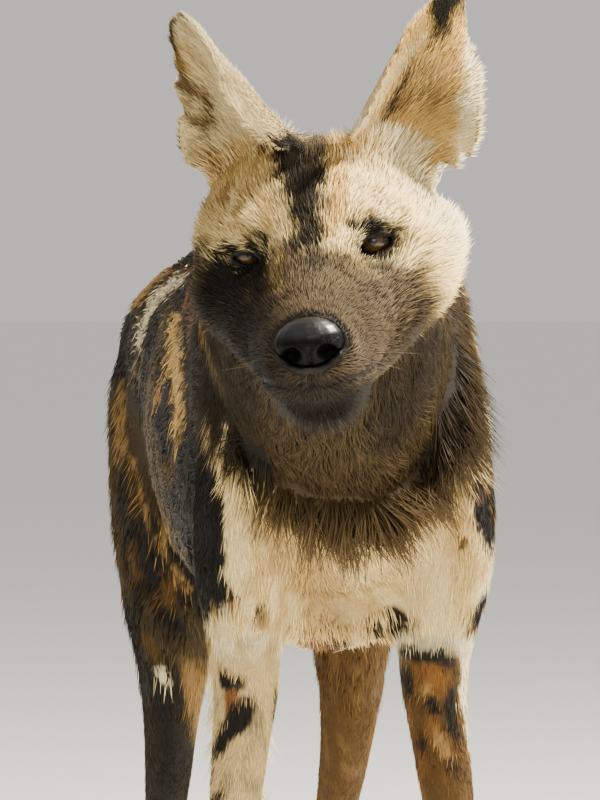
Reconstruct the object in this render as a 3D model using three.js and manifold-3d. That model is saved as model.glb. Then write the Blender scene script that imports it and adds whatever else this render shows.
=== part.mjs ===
// An african wild dog standing still, life size, its head turned a little to its right.
// Millimetres, +Z up. The nose points to -Y and the dog's right side is -X.
// The origin is on the floor, under the middle of the whole animal.
import * as THREE from 'three';
import { mergeVertices } from 'three/addons/utils/BufferGeometryUtils.js';
import Module from 'manifold-3d';

const wasm = await Module();
wasm.setup();

// Driving dimensions
const GAP = 0.3; // clearance between neighbouring parts
const SLIVER = 0.02; // edges shorter than this are closed up
const EYE_SPACING = 75;
const EYE_RADIUS = 11;
const EYE_SET_BACK = 3; // how far the eyeballs' centres lie behind the face's own origin
const LID_THICKNESS = 2.4;
const LID_OPENING = { width: 20, height: 10.5, tilt: 8, depth: 44 }; // tilt in degrees, up at the outer corner
const GAZE_OUTWARD = 12; // degrees
const NOSE_PAD = { width: 42, depth: 30, height: 31, y: -110, z: -37, tilt: 6 };
const NOSTRIL = { hole: [5.4, 8, 5.2], slit: [7.5, 7, 2], apart: 10, slitApart: 16.5, turn: 20, slant: 30 };
const PHILTRUM = { width: 1.6, depth: 9, height: 26 };
const MOUTH = { frontZ: -75, cornerZ: -60, cornerY: -24 };
const EAR = { length: 125, sunk: 20, thickness: 7, edgeThinning: 0.35, sweep: 10 };
const HEAD_CUT_Y = 84; // where the head is parted from the neck, in the head's frame
const TAIL_CUT = 0.24; // share of the tail's length that is its bare base
const ELBOW_CUT_Z = 392;
const WRIST_CUT_Z = 74;
const STIFLE_CUT_Z = 322;
const HEEL_CUT_Z = 74;
const PAW = { length: 84, width: 56, behind: 9 };
const PAD = { width: 47, length: 60, height: 48, behind: 6, z: 17 };
const TOE = { width: 17, length: 42, height: 30, z: 15.5, droop: 0.35, rise: 0.15 };
const CLAW = { length: 15, radius: 3.4, flatness: 0.8, tilt: 26, curl: 0.02, ahead: 1.5, z: 12 };
const LOCK_THICKNESS = 9;
const LOCK_SUNK = 9; // how deep a lock's root lies under the surface it grows from
const RUFF = { rows: 4, from: 0.27, to: 0.7, perRow: 11, length: 74, width: 30, stand: 20 };
const BRUSH = { rings: 5, from: 0.28, to: 0.88, perRing: 6, length: 100, width: 25 };
const BRUSH_CORE = 0.5; // the brush's core as a share of its full thickness

// The head's own frame: its origin is midway between the eyes
const HEAD_PLACE = new THREE.Vector3(-65, -294, 640);
const HEAD_TURN = { yaw: -11, pitch: 10, roll: -6.5 };

const RIGHT = -1;
const LEFT = 1;
const DEGREES = Math.PI / 180;
const FAR = 2000;

// Materials
const coatColours = {
  tan: 0xb08a55,
  cream: 0xe2d2a8,
  dark: 0x2a2620,
  brown: 0x6a5540,
  umber: 0x4a3c2c,
  white: 0xe6e0d0,
};
const HORN = 0x2b2622;
const LEATHER = 0x1c1a19;
const AMBER = 0x6b4320;

function coat(colour) {
  return new THREE.MeshStandardMaterial({ color: coatColours[colour], roughness: 0.9, metalness: 0 });
}

function glossy(colour, roughness) {
  return new THREE.MeshStandardMaterial({ color: colour, roughness, metalness: 0 });
}

// A closed geometry as a solid that can be joined and cut
function solid(geometry) {
  const bare = geometry.clone();
  bare.deleteAttribute('normal');
  bare.deleteAttribute('uv');
  const merged = mergeVertices(bare, 1e-4);
  const mesh = new wasm.Mesh({
    numProp: 3,
    vertProperties: new Float32Array(merged.attributes.position.array),
    triVerts: new Uint32Array(merged.index.array),
  });
  return new wasm.Manifold(mesh);
}

function join(solids) {
  return wasm.Manifold.union(solids);
}

// The largest closed surface of a body, without slivers too short to build
function largest(body) {
  const pieces = body.setTolerance(SLIVER).decompose();
  pieces.sort((a, b) => b.volume() - a.volume());
  return pieces[0];
}

function meshOf(name, body, material) {
  const { vertProperties, triVerts } = largest(body).getMesh();
  const geometry = new THREE.BufferGeometry();
  geometry.setAttribute('position', new THREE.BufferAttribute(new Float32Array(vertProperties), 3));
  geometry.setIndex(new THREE.BufferAttribute(new Uint32Array(triVerts), 1));
  geometry.computeVertexNormals();
  const mesh = new THREE.Mesh(geometry, material);
  mesh.name = name;
  return mesh;
}

function reshape(geometry, change) {
  const positions = geometry.attributes.position;
  const point = new THREE.Vector3();
  for (let i = 0; i < positions.count; i += 1) {
    point.fromBufferAttribute(positions, i);
    change(point);
    positions.setXYZ(i, point.x, point.y, point.z);
  }
  return geometry;
}

function matrixOf(place, turn) {
  const yaw = new THREE.Matrix4().makeRotationZ(turn.yaw * DEGREES);
  const pitch = new THREE.Matrix4().makeRotationX(turn.pitch * DEGREES);
  const roll = new THREE.Matrix4().makeRotationY(turn.roll * DEGREES);
  return yaw.multiply(pitch).multiply(roll).setPosition(place);
}

// A block that keeps one side of a plane: the normal points into the block
function halfSpace(point, normal) {
  const block = new THREE.BoxGeometry(FAR, FAR, FAR);
  block.translate(0, 0, FAR / 2);
  const turn = new THREE.Quaternion().setFromUnitVectors(
    new THREE.Vector3(0, 0, 1),
    normal.clone().normalize(),
  );
  block.applyQuaternion(turn);
  block.translate(point.x, point.y, point.z);
  return solid(block);
}

// Parts a body at a plane, with the clearance between the two sides
function part(body, point, normal) {
  const away = normal.clone().normalize().multiplyScalar(GAP / 2);
  const front = halfSpace(point.clone().add(away), normal);
  const back = halfSpace(point.clone().sub(away), normal.clone().negate());
  return [body.intersect(front), body.intersect(back)];
}

function roundedEnd(t, share) {
  const inset = Math.min(t, 1 - t) / share;
  return inset >= 1 ? 1 : Math.sqrt(Math.max(0, 1 - (1 - inset) ** 2));
}

// The frame and sizes of a body's section at any share t of its spine's length
function spineOf(sections) {
  const path = new THREE.CatmullRomCurve3(sections.map((s) => new THREE.Vector3(...s.at)));
  const sizes = new THREE.CatmullRomCurve3(
    sections.map((s) => new THREE.Vector3(s.side, s.up, s.down)),
    false,
    'catmullrom',
    0.5,
  );
  return (t) => {
    const tangent = path.getTangent(t);
    const across = new THREE.Vector3(1, 0, 0).addScaledVector(tangent, -tangent.x).normalize();
    const upward = new THREE.Vector3().crossVectors(across, tangent);
    const { x: side, y: up, z: down } = sizes.getPoint(t);
    return { centre: path.getPoint(t), tangent, across, upward, side, up, down };
  };
}

// A closed form along a spine. Each section has a centre, a half width to either side
// and its reach on the side that the spine's turned-up axis points to and on the other.
function alongSpine(sections, { around, rows, grow = 0, endShare = 0.1, squareness = 1 }) {
  const sectionAt = spineOf(sections);
  return reshape(new THREE.SphereGeometry(1, around, rows), (point) => {
    const angle = Math.acos(THREE.MathUtils.clamp(point.y, -1, 1));
    const t = 1 - (angle / Math.PI - 0.06 * Math.sin(2 * angle));
    const ring = Math.hypot(point.x, point.z) || 1;
    const sideways = point.x / ring;
    const up = point.z / ring;
    const section = sectionAt(t);
    const end = Math.abs(point.y) > 0.99999 ? 0 : roundedEnd(t, endShare);
    const halfWidth = (section.side + grow) * end;
    const reach = ((up > 0 ? section.up : section.down) + grow) * end;
    const beyond = Math.sign(point.y) * grow * Math.sqrt(1 - end ** 2);
    point.copy(section.centre).addScaledVector(section.tangent, beyond);
    point.addScaledVector(section.across, halfWidth * Math.sign(sideways) * Math.abs(sideways) ** squareness);
    point.addScaledVector(section.upward, reach * Math.sign(up) * Math.abs(up) ** squareness);
  });
}

// The point of a body's surface at share t of its spine and an angle round it, and its outward direction
function surfaceAt(section, angle) {
  const up = Math.sin(angle);
  const reach = up > 0 ? section.up : section.down;
  const from = section.across.clone().multiplyScalar(Math.cos(angle) * section.side);
  from.addScaledVector(section.upward, up * reach);
  const out = section.across.clone().multiplyScalar(Math.cos(angle) / section.side);
  out.addScaledVector(section.upward, up / reach).normalize();
  return { point: section.centre.clone().add(from), out };
}

// A flat tapered lock of hair: it leaves its root outwards and bends over to its lie
function lockForm({ root, out, lie, length, width, stand }) {
  const form = new THREE.ConeGeometry(1, 1, 4, 2);
  form.rotateY(Math.PI / 4);
  const side = new THREE.Vector3().crossVectors(lie, out).normalize();
  return solid(reshape(form, (point) => {
    const share = point.y + 0.5;
    const taper = (1 - share) ** 0.6 / Math.max(1 - share, 1e-6);
    const across = point.x * taper * width * 0.7;
    const through = point.z * taper * LOCK_THICKNESS * 0.7;
    const rise = stand * Math.sin(share * Math.PI * 0.62);
    point.copy(root);
    point.addScaledVector(lie, share * length);
    point.addScaledVector(out, rise + through);
    point.addScaledVector(side, across);
  }));
}

// The same draws each time
function seeded(seed) {
  let state = seed;
  return () => {
    state = (state * 1664525 + 1013904223) % 4294967296;
    return state / 4294967296;
  };
}

// Pushes the points near a centre by up to the given vector
function swell(point, centre, radius, push) {
  const distance = point.distanceTo(new THREE.Vector3(...centre));
  if (distance > radius) return;
  const share = (1 - (distance / radius) ** 2) ** 2;
  point.addScaledVector(new THREE.Vector3(...push), share);
}

function swellBoth(point, [x, y, z], radius, [pushX, pushY, pushZ]) {
  swell(point, [x, y, z], radius, [pushX, pushY, pushZ]);
  swell(point, [-x, y, z], radius, [-pushX, pushY, pushZ]);
}

// Sections that stand upright across the body: along, centre, half width, top and bottom
function uprightSections(rows) {
  return rows.map(([y, x, side, top, bottom]) => {
    const middle = bottom + (top - bottom) * 0.52;
    return { at: [x, y, middle], side, up: top - middle, down: middle - bottom };
  });
}

// Sections across a limb or the neck: centre, half width, and the reach behind and in front
function limbSections(rows) {
  return rows.map(([x, y, z, side, behind, front]) => ({ at: [x, y, z], side, up: behind, down: front }));
}

// Torso
const torsoRows = [
  [-104, -4, 62, 556, 462],
  [-74, -4, 76, 606, 424],
  [-30, -4, 86, 660, 396],
  [40, -4, 94, 680, 378],
  [130, -4, 101, 664, 374],
  [230, -3, 101, 652, 388],
  [330, -1, 94, 650, 414],
  [420, 2, 89, 650, 444],
  [500, 4, 93, 648, 456],
  [565, 6, 92, 634, 484],
  [626, 8, 58, 606, 530],
];

function torsoForm(grow = 0) {
  const shape = { around: 22, rows: 18, squareness: 0.88, grow };
  return solid(alongSpine(uprightSections(torsoRows), shape));
}

// Neck, from inside the skull to inside the chest
const neckRows = [
  [-60, -232, 662, 46, 40, 46],
  [-53, -185, 640, 58, 54, 68],
  [-40, -130, 612, 68, 74, 80],
  [-24, -75, 588, 72, 90, 92],
  [-12, -15, 570, 78, 102, 112],
  [-4, 50, 560, 80, 104, 122],
];

function neckForm(grow = 0) {
  return solid(alongSpine(limbSections(neckRows), { around: 22, rows: 14, grow }));
}

// The ruff: rows of locks from one side of the neck, under the throat, to the other
function ruffLocks() {
  const random = seeded(7);
  const sectionAt = spineOf(limbSections(neckRows));
  const down = new THREE.Vector3(0, 0, -1);
  const locks = [];
  for (let row = 0; row < RUFF.rows; row += 1) {
    for (let i = 0; i < RUFF.perRow; i += 1) {
      const t = THREE.MathUtils.lerp(RUFF.from, RUFF.to, (row + 0.5 * random()) / (RUFF.rows - 0.5));
      const turn = (i + 0.5 * (row % 2) + 0.3 * random()) / RUFF.perRow;
      const angle = -Math.PI * THREE.MathUtils.lerp(-0.04, 1.04, turn);
      const section = sectionAt(t);
      const { point, out } = surfaceAt(section, angle);
      const lie = section.tangent.clone().multiplyScalar(0.75).addScaledVector(down, 0.85 + 0.3 * random());
      lie.addScaledVector(out, -lie.dot(out)).normalize();
      lie.addScaledVector(out, 0.1).normalize();
      const size = 0.85 + 0.3 * random();
      locks.push(lockForm({
        root: point.addScaledVector(out, -LOCK_SUNK),
        out,
        lie,
        length: RUFF.length * size,
        width: RUFF.width * size,
        stand: RUFF.stand * size,
      }));
    }
  }
  return join(locks);
}

// Legs: the spine of each runs down from inside the body to the foot
const foreLegRows = [
  [50, 16, 628, 22, 34, 34],
  [58, -1, 560, 30, 58, 58],
  [64, -13, 490, 35, 58, 66],
  [66, -7, 435, 33, 50, 58],
  [62, 6, 390, 27, 36, 42],
  [62, 4, 350, 22, 26, 30],
  [69, -2, 290, 18.5, 20, 22],
  [74, -5, 215, 16.5, 17, 18],
  [78, -8, 165, 18, 20, 18],
  [80, -13, 105, 16, 17, 15],
  [82, -24, 52, 18, 19, 16],
  [82, -34, 22, 20, 18, 16],
];
const SHOULDER_CENTRE_X = -4;

const hindLegRows = [
  [50, 552, 604, 26, 40, 34],
  [57, 534, 550, 42, 66, 68],
  [58, 512, 470, 45, 76, 76],
  [62, 494, 400, 35, 62, 64],
  [61, 486, 345, 25, 44, 46],
  [60, 508, 295, 20, 28, 36],
  [58, 552, 242, 16, 20, 24],
  [57, 596, 196, 13.5, 17, 18],
  [57, 616, 164, 15, 18, 17],
  [57, 610, 110, 13, 15, 13],
  [57, 596, 56, 16, 17, 15],
  [57, 586, 24, 18, 17, 15],
];
const HIP_CENTRE_X = 6;
const LEFT_HIND_SPLAY = 14; // how much further out the left hind foot stands

function legSections({ rows, side, centreX, splay = 0 }) {
  const [topZ, footZ] = [rows[0][2], rows[rows.length - 1][2]];
  return limbSections(rows.map(([x, y, z, ...sizes]) => {
    const outward = x + (splay * (topZ - z)) / (topZ - footZ);
    return [centreX + side * outward, y, z, ...sizes];
  }));
}

function legForm(leg, grow = 0) {
  return solid(alongSpine(legSections(leg), { around: 12, rows: 26, grow, endShare: 0.06 }));
}

function footOf({ rows, side, centreX, splay = 0 }) {
  const [x, y] = rows[rows.length - 1];
  return { x: centreX + side * (x + splay), y: y - PAW.behind };
}

function ball(centre, [rx, ry, rz], around = 10, rows = 8) {
  const form = new THREE.SphereGeometry(1, around, rows);
  form.rotateX(Math.PI / 2);
  form.scale(rx, ry, rz);
  form.translate(...centre);
  return form;
}

// The four toes of a paw, from its inner to its outer side
const toes = [
  { across: -0.375, forward: -0.02, turn: 10 },
  { across: -0.13, forward: 0.1, turn: 3 },
  { across: 0.13, forward: 0.1, turn: -3 },
  { across: 0.375, forward: -0.02, turn: -10 },
];
function toePlace(foot, toe) {
  return {
    x: foot.x + toe.across * PAW.width,
    y: foot.y - (0.18 + toe.forward) * PAW.length,
  };
}

function pawForm(foot) {
  const padSizes = [PAD.width / 2, PAD.length / 2, PAD.height / 2];
  const pieces = [solid(ball([foot.x, foot.y + PAD.behind, PAD.z], padSizes, 10, 6))];
  toes.forEach((toe) => {
    const { x, y } = toePlace(foot, toe);
    const form = ball([0, 0, 0], [TOE.width / 2, TOE.length / 2, TOE.height / 2], 7, 5);
    reshape(form, (point) => {
      point.z -= Math.max(0, -point.y - 4) * TOE.droop;
      point.z += Math.max(0, point.y) * TOE.rise;
    });
    form.rotateZ(-toe.turn * DEGREES);
    form.translate(x, y, TOE.z);
    pieces.push(solid(form));
  });
  return join(pieces);
}

function clawForm(foot, toe, grow = 0) {
  const { x, y } = toePlace(foot, toe);
  const form = new THREE.ConeGeometry(CLAW.radius + grow, CLAW.length + 2 * grow, 5, 2);
  form.rotateX(Math.PI / 2 + CLAW.tilt * DEGREES);
  form.scale(CLAW.flatness, 1, 1);
  reshape(form, (point) => {
    point.z -= Math.max(0, -point.y) ** 2 * CLAW.curl;
  });
  form.rotateZ(-toe.turn * DEGREES);
  form.translate(x, y - TOE.length / 2 - CLAW.ahead, CLAW.z);
  return solid(form);
}

const UP = new THREE.Vector3(0, 0, 1);
const aboveFloor = halfSpace(new THREE.Vector3(0, 0, 0), UP);

function makeLeg(leg) {
  const { prefix, upperCutZ, pawCutZ } = leg;
  const foot = footOf(leg);
  const claws = toes.map((toe) => clawForm(foot, toe));
  const grownClaws = join(toes.map((toe) => clawForm(foot, toe, GAP)));
  const whole = join([legForm(leg), pawForm(foot)]).intersect(aboveFloor);
  const [upper, rest] = part(whole, new THREE.Vector3(0, 0, upperCutZ), UP);
  const [lower, paw] = part(rest, new THREE.Vector3(0, 0, pawCutZ), UP);
  const meshes = [
    meshOf(`${prefix}_upper`, upper, coat('dark')),
    meshOf(`${prefix}_lower`, lower, coat('tan')),
    meshOf(`${prefix}_paw`, paw.subtract(grownClaws), coat('white')),
  ];
  claws.forEach((claw, i) => {
    meshes.push(meshOf(`${prefix}_claw_${i + 1}`, claw, glossy(HORN, 0.35)));
  });
  return { meshes, grown: legForm(leg, GAP) };
}

// Tail
const tailRows = [
  [13, 590, 600, 20, 20, 20],
  [13, 630, 592, 19, 18, 18],
  [13, 655, 560, 18, 17, 17],
  [13, 668, 500, 28, 26, 25],
  [14, 672, 430, 30, 28, 26],
  [15, 671, 350, 27, 26, 24],
  [16, 666, 285, 19, 18, 17],
  [17, 660, 235, 7, 7, 7],
];

// The tail without its long hair: bare at the base, a thin core inside the brush
const tailCoreRows = tailRows.map(([x, y, z, ...sizes], i) => {
  const share = i < 3 ? 1 : BRUSH_CORE;
  return [x, y, z, ...sizes.map((size) => size * share)];
});

function tailForm(grow = 0) {
  return solid(alongSpine(limbSections(tailCoreRows), { around: 12, rows: 18, grow, endShare: 0.05 }));
}

// The brush: rings of locks that hang down the tail out to its full thickness
function brushLocks() {
  const random = seeded(11);
  const coreAt = spineOf(limbSections(tailCoreRows));
  const fullAt = spineOf(limbSections(tailRows));
  const locks = [];
  for (let ring = 0; ring < BRUSH.rings; ring += 1) {
    for (let i = 0; i < BRUSH.perRing; i += 1) {
      const t = THREE.MathUtils.lerp(BRUSH.from, BRUSH.to, (ring + 0.3 * random()) / (BRUSH.rings - 0.7));
      const angle = (2 * Math.PI * (i + 0.5 * (ring % 2) + 0.3 * random())) / BRUSH.perRing;
      const { point, out } = surfaceAt(coreAt(t), angle);
      const size = (0.85 + 0.25 * random()) * (1 - 0.35 * t);
      const reach = fullAt(Math.min(1, t + 0.12)).side - coreAt(t).side * 0.4;
      locks.push(lockForm({
        root: point.addScaledVector(out, -0.6 * coreAt(t).side),
        out,
        lie: coreAt(Math.min(1, t + 0.05)).tangent,
        length: BRUSH.length * size,
        width: BRUSH.width * size,
        stand: Math.max(4, reach * 0.85),
      }));
    }
  }
  return join(locks);
}

// Head, in its own frame
const headRows = [
  [-117, 0, 16, -34, -76],
  [-104, 0, 26, -22, -84],
  [-84, 0, 33, -17, -91],
  [-58, 0, 38, -8, -93],
  [-34, 0, 45, 6, -94],
  [-12, 0, 58, 24, -95],
  [14, 0, 71, 45, -96],
  [42, 0, 80, 58, -93],
  [72, 0, 77, 60, -82],
  [102, 0, 60, 46, -60],
  [124, 0, 38, 26, -34],
];

// Where the face swells or sinks: the same on both sides, in millimetres of the head's frame
const faceSwells = [
  { at: [EYE_SPACING / 2 + 2, -18, 0], radius: 25, push: [-1, 13, -1] }, // eye hollow
  { at: [EYE_SPACING / 2 - 6, -6, 22], radius: 24, push: [0, -4, 4] }, // brow
  { at: [30, -70, -58], radius: 34, push: [4, -2, -3] }, // upper lip
  { at: [66, 12, -28], radius: 36, push: [5, -5, 0] }, // cheekbone
  { at: [28, -42, -4], radius: 26, push: [-4, 0, -3] }, // side of the bridge
];
const oneSidedSwells = [
  { at: [84, 44, -14], radius: 58, push: [13, -2, 0] }, // fluffed left cheek
  { at: [-84, 44, -10], radius: 50, push: [3, -2, 0] },
  { at: [0, -30, 8], radius: 26, push: [0, 2, -3] }, // stop, between forehead and bridge
];
const CHIN = { narrowing: 0.12, fall: 8, frontY: -100, setBack: 5 };

function headForm() {
  const form = alongSpine(uprightSections(headRows), { around: 24, rows: 22, squareness: 0.94 });
  return solid(reshape(form, (point) => {
    faceSwells.forEach(({ at, radius, push }) => swellBoth(point, at, radius, push));
    oneSidedSwells.forEach(({ at, radius, push }) => swell(point, at, radius, push));
    const mouthZ = mouthHeight(point.y);
    if (point.z < mouthZ && point.y < MOUTH.cornerY) {
      const below = Math.min(1, (mouthZ - point.z) / CHIN.fall);
      point.x *= 1 - CHIN.narrowing * below;
      if (point.y < CHIN.frontY) point.y += CHIN.setBack * below;
    }
  }));
}

function mouthHeight(y) {
  const share = THREE.MathUtils.clamp((y + 117) / (MOUTH.cornerY + 117), 0, 1);
  return THREE.MathUtils.lerp(MOUTH.frontZ, MOUTH.cornerZ, share);
}

function eyeCentre(side) {
  return new THREE.Vector3((side * EYE_SPACING) / 2, EYE_SET_BACK, 0);
}

function lidForm(side) {
  const radius = EYE_RADIUS + LID_THICKNESS;
  const form = ball([0, 0, 0], [radius + 1.5, radius, radius], 18, 12);
  const centre = eyeCentre(side);
  form.translate(centre.x, centre.y, centre.z);
  return solid(form);
}

// The almond between the lids, as a short bar pushed through them along the gaze
function lidOpening(side) {
  const { width, height, tilt, depth } = LID_OPENING;
  const almond = new THREE.Shape();
  almond.moveTo(-width / 2, 0);
  almond.quadraticCurveTo(0, height * 0.85, width / 2, 0);
  almond.quadraticCurveTo(0, -height * 1.15, -width / 2, 0);
  const bar = new THREE.ExtrudeGeometry(almond, { depth, bevelEnabled: false, curveSegments: 6 });
  bar.rotateZ(side * tilt * DEGREES);
  bar.rotateX(Math.PI / 2);
  bar.rotateZ(side * GAZE_OUTWARD * DEGREES);
  const centre = eyeCentre(side);
  bar.translate(centre.x, centre.y, centre.z);
  return solid(bar);
}

function eyeForm(side, grow = 0) {
  const centre = eyeCentre(side);
  const radius = EYE_RADIUS + grow;
  return solid(ball([centre.x, centre.y, centre.z], [radius, radius, radius], 14, 8));
}

function noseForm(grow = 0) {
  const { width, depth, height, y, z, tilt } = NOSE_PAD;
  const form = ball([0, 0, 0], [width / 2 + grow, depth / 2 + grow, height / 2 + grow], 16, 10);
  reshape(form, (point) => {
    const low = Math.max(0, -point.z / (height / 2));
    point.x *= 1 - 0.28 * low ** 2;
    point.y += 3 * low;
  });
  form.rotateX(-tilt * DEGREES);
  form.translate(0, y, z);
  return solid(form);
}

function nostrilForm(side) {
  const hole = ball([0, 0, 0], NOSTRIL.hole, 8, 6);
  hole.rotateZ(side * NOSTRIL.turn * DEGREES);
  hole.translate(side * NOSTRIL.apart, NOSE_PAD.y - 13.5, NOSE_PAD.z - 4);
  const slit = ball([0, 0, 0], NOSTRIL.slit, 6, 4);
  slit.rotateY(side * NOSTRIL.slant * DEGREES);
  slit.translate(side * NOSTRIL.slitApart, NOSE_PAD.y - 9, NOSE_PAD.z - 6);
  return join([solid(hole), solid(slit)]);
}

function philtrumCut() {
  const groove = new THREE.BoxGeometry(PHILTRUM.width, PHILTRUM.depth, PHILTRUM.height);
  groove.translate(0, NOSE_PAD.y - 8, NOSE_PAD.z - 27);
  return solid(groove);
}

// Everything below the line of the mouth and in front of its corners
function jawRegion(grow = 0) {
  const front = new THREE.Vector3(0, -117, MOUTH.frontZ);
  const corner = new THREE.Vector3(0, MOUTH.cornerY, MOUTH.cornerZ);
  const along = corner.clone().sub(front).normalize();
  const below = new THREE.Vector3(0, along.z, -along.y);
  const forward = new THREE.Vector3(0, -1, 0);
  const underLine = halfSpace(corner.clone().addScaledVector(below, -grow), below);
  const beforeCorner = halfSpace(corner.clone().addScaledVector(forward, -grow), forward);
  return underLine.intersect(beforeCorner);
}

// An ear is a plate whose width curls round its opening: share of height, half width, radius of the curl
const earWidths = new THREE.CatmullRomCurve3([
  new THREE.Vector3(0, 12, 50),
  new THREE.Vector3(0.22, 56, 52),
  new THREE.Vector3(0.45, 66, 50),
  new THREE.Vector3(0.68, 53, 48),
  new THREE.Vector3(0.87, 33, 50),
  new THREE.Vector3(1, 11, 56),
]);
const ears = [
  { side: RIGHT, root: [-11, 46, 57], lean: 38, outward: 56, narrowing: 0 },
  { side: LEFT, root: [46, 46, 52], lean: 36, outward: 40, narrowing: 0.26 },
];

function earForm({ side, root, lean, outward, narrowing }, grow = 0) {
  const form = reshape(new THREE.SphereGeometry(1, 20, 14), (point) => {
    const height = (1 + point.y) / 2;
    const sizes = earWidths.getPoint(height);
    const ring = Math.hypot(point.x, point.z) || 1;
    const atPole = Math.abs(point.y) > 0.99999;
    const across = point.x / ring;
    const through = point.z / ring;
    const halfWidth = atPole ? 0 : sizes.y * (1 - narrowing * height) + grow;
    const radius = sizes.z;
    const fullness = atPole ? 0 : 1 - EAR.edgeThinning * Math.abs(across);
    const thickness = (EAR.thickness / 2) * fullness + grow;
    const angle = (halfWidth * Math.sign(across) * Math.abs(across) ** 0.85) / radius;
    const out = -through * thickness;
    point.set(
      (radius + out) * Math.sin(angle),
      -radius + (radius + out) * Math.cos(angle) + EAR.sweep * height ** 2,
      height * (EAR.length + 2 * grow) - EAR.sunk - grow,
    );
  });
  form.rotateZ(side * outward * DEGREES);
  form.rotateY(side * lean * DEGREES);
  form.translate(...root);
  return solid(form);
}

// Building the parts
const dog = new THREE.Group();
const model = new THREE.Group();
const headGroup = new THREE.Group();
model.add(headGroup);
dog.add(model);

const headMatrix = matrixOf(HEAD_PLACE, HEAD_TURN);
headMatrix.decompose(headGroup.position, headGroup.quaternion, headGroup.scale);
const intoHead = headMatrix.clone().invert();

const neckWhole = neckForm();
const torsoWhole = torsoForm();

const fore = { rows: foreLegRows, centreX: SHOULDER_CENTRE_X, upperCutZ: ELBOW_CUT_Z, pawCutZ: WRIST_CUT_Z };
const hind = { rows: hindLegRows, centreX: HIP_CENTRE_X, upperCutZ: STIFLE_CUT_Z, pawCutZ: HEEL_CUT_Z };
const legs = [
  { ...fore, prefix: 'foreleg_right', side: RIGHT },
  { ...fore, prefix: 'foreleg_left', side: LEFT },
  { ...hind, prefix: 'hindleg_right', side: RIGHT },
  { ...hind, prefix: 'hindleg_left', side: LEFT, splay: LEFT_HIND_SPLAY },
];
const grownLegs = [];
legs.forEach((leg) => {
  const { meshes, grown } = makeLeg(leg);
  meshes.forEach((mesh) => model.add(mesh));
  grownLegs.push(grown);
});

const tailPlane = alongTail(TAIL_CUT);

function alongTail(t) {
  const spine = new THREE.CatmullRomCurve3(tailRows.map(([x, y, z]) => new THREE.Vector3(x, y, z)));
  return { point: spine.getPoint(t), normal: spine.getTangent(t) };
}

const [brushCore, tailBase] = part(tailForm(), tailPlane.point, tailPlane.normal);
const belowTailBase = halfSpace(
  tailPlane.point.clone().addScaledVector(tailPlane.normal, GAP / 2),
  tailPlane.normal,
);
const tailBrush = brushCore.add(brushLocks().intersect(belowTailBase));
model.add(meshOf('tail_base', tailBase, coat('tan')));
model.add(meshOf('tail_brush', tailBrush, coat('dark')));

// The neck is parted from the torso by a plane that slopes from the withers to the breast
const NECK_PLANE = { point: new THREE.Vector3(0, -30, 560), normal: new THREE.Vector3(0, -0.85, 0.53) };
const trunk = join([neckWhole, torsoWhole]).subtract(join([...grownLegs, tailForm(GAP)]));
const [neckFront, torso] = part(trunk, NECK_PLANE.point, NECK_PLANE.normal);
model.add(meshOf('torso', torso, coat('umber')));

const neckInHead = neckFront.transform(intoHead.elements);
const skull = join([headForm(), neckInHead, lidForm(RIGHT), lidForm(LEFT)]);
const headPlanePoint = new THREE.Vector3(0, HEAD_CUT_Y, 0);
const headPlaneNormal = new THREE.Vector3(0, -1, 0.25);
const [headFront, neckBack] = part(skull, headPlanePoint, headPlaneNormal);

const torsoSide = halfSpace(
  NECK_PLANE.point.clone().addScaledVector(NECK_PLANE.normal, GAP / 2),
  NECK_PLANE.normal.clone().negate(),
);
const clearOfRuff = join([torsoForm(GAP), neckForm(GAP)]).intersect(torsoSide).add(join(grownLegs));
const neck = neckBack.transform(headMatrix.elements).add(ruffLocks().subtract(clearOfRuff));
model.add(meshOf('neck', neck, coat('brown')));

const openings = join([
  eyeForm(RIGHT, GAP),
  eyeForm(LEFT, GAP),
  lidOpening(RIGHT),
  lidOpening(LEFT),
  noseForm(GAP),
  philtrumCut(),
  ...ears.map((ear) => earForm(ear, GAP)),
]);
const face = headFront.subtract(openings);
headGroup.add(meshOf('lower_jaw', face.intersect(jawRegion()), coat('dark')));
headGroup.add(meshOf('head', face.subtract(jawRegion(GAP)), coat('cream')));
const nose = noseForm().subtract(join([nostrilForm(RIGHT), nostrilForm(LEFT)]));
headGroup.add(meshOf('nose', nose, glossy(LEATHER, 0.4)));
[RIGHT, LEFT].forEach((side) => {
  const name = side === RIGHT ? 'eye_right' : 'eye_left';
  headGroup.add(meshOf(name, eyeForm(side), glossy(AMBER, 0.1)));
});
ears.forEach((ear) => {
  const name = ear.side === RIGHT ? 'ear_right' : 'ear_left';
  headGroup.add(meshOf(name, earForm(ear), coat('cream')));
});

// The origin goes to the floor under the middle of the animal
model.updateMatrixWorld(true);
const bounds = new THREE.Box3().setFromObject(model, true);
const middle = bounds.getCenter(new THREE.Vector3());
model.position.set(-middle.x, -middle.y, -bounds.min.z);
dog.updateMatrixWorld(true);

export default dog;
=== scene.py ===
"""A life-size african wild dog that stands square and turns its head towards the viewer.

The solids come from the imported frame. One skin covers them, with lids, lips and folds, and a coat of
mesh tufts lies over it. Skin and coat take their markings from one function.
"""

import math

import bmesh
import bpy
import numpy as np
from bpy.props import FloatProperty, FloatVectorProperty, PointerProperty
from mathutils import Matrix, Vector
from mathutils.bvhtree import BVHTree
from mathutils.kdtree import KDTree


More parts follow.
